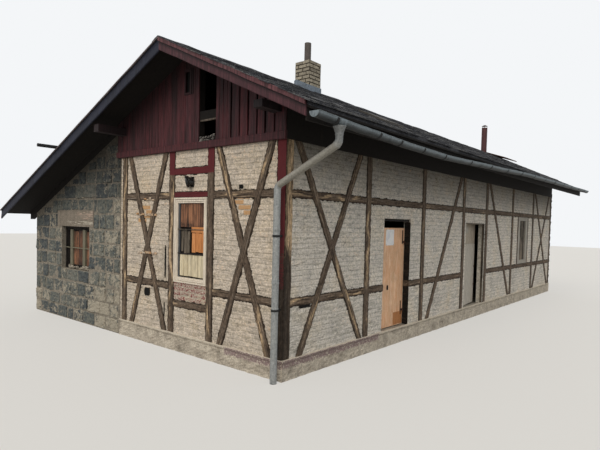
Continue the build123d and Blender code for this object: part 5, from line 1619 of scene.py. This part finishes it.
# %% [markdown]
# ## Plinth
#
# The plinth is old concrete and rubble under a worn skim. A narrow ledge of mortar runs
# along its top, pale where it is clean and red where the paint of a former strip is left.

# %% Plinth skin
RUBBLE = [(0.28, "#8f877a"), (0.42, "#b8ae9f"), (0.55, "#d2c8b7"), (0.7, "#e0d6c5")]
PROFILE = [0.0, 0.12, 0.22, 0.3, 0.36, 0.42, 1.0]
PROFILE_HEIGHT = [0.016, 0.014, 0.002, -0.018, -0.030, -0.040, -PLINTH]
PROFILE_OUT = [-0.012, 0.014, 0.024, 0.022, 0.010, 0.006, 0.014]
made, add, place = start("rubble_plinth", 0.95, 0.2)
paint, ledge = (add("Attribute", attribute_name=key) for key in ("paint", "ledge"))
cloud = add("TexNoise", place, Scale=5.0, Detail=9.0, Roughness=0.72)
grit = add("TexNoise", place, Scale=45.0, Detail=6.0, Roughness=0.75)
pits = add("MapRange", grit, 0.32, 0.6, 0.55, 1.15)
shade = add("VectorMath", add("ValToRGB", cloud, stops=RUBBLE), operation="SCALE", Scale=pits)
pale = add("Mix", ledge, shade, "#d2c8b6")
cover = add("MapRange", add("Math", paint, grit, operation="SUBTRACT"), 0.0, 0.08)
plinth_finish = dress(made, add("Mix", cover, pale, "#93807e"), grit, 0.9, 0.012)


def plinth_skin(heap, wall, s0, s1, seed, paint_from=0, paint_to=0):
    """A strip whose profile runs from the wall over a 14 mm ledge and down to the ground,
    roughened by ripples of 60 and 250 mm that grow below the ledge."""
    n = int((s1 - s0) / 0.03)
    s = np.linspace(s0, s1, n)[:, None]
    k = np.concatenate([PROFILE[:5], np.linspace(0.42, 1.0, 12)])[None]
    z, h = (np.interp(k, PROFILE, values) for values in (PROFILE_HEIGHT, PROFILE_OUT))
    low = np.clip((k - 0.3) / 0.12, 0, 1)
    rough = ripple(s, z * 1.5, seed, 0.25) * 0.006 + ripple(s, z, seed + 1, 0.06) * 0.004
    h = h + rough * (0.35 + 0.65 * low)
    z = z + ripple(s, z, seed + 2, 0.3) * 0.003 * (k < 0.9)
    h = np.maximum(h, 0.0015 - 0.02 * (k < 0.05))
    painted = np.clip((s - paint_from) / 0.1, 0, 1) * np.clip((paint_to - s) / 0.1, 0, 1)
    paint = painted * np.clip((k - 0.05) / 0.1, 0, 1) * np.clip((0.80 - k) / 0.25, 0, 1) * 0.60
    ledge = np.clip(1 - np.abs(k - 0.14) / 0.16, 0, 1) * 0.75
    heap.take(wall.at(s + 0 * k, z, h), grid_faces(n, k.shape[1])[:, ::-1], paint=paint, ledge=ledge + 0 * s)


heap = Heap()
plinth_skin(heap, front, BODY_LEFT, 0.02, 13000, -1.25, 0.3)
plinth_skin(heap, side, -0.02, LENGTH + 0.02, 13100, -0.1, 2.6)
plinth_skin(heap, rear, -0.02, -BODY_LEFT, 13200)
piece("plinth_face", heap, plinth_finish)
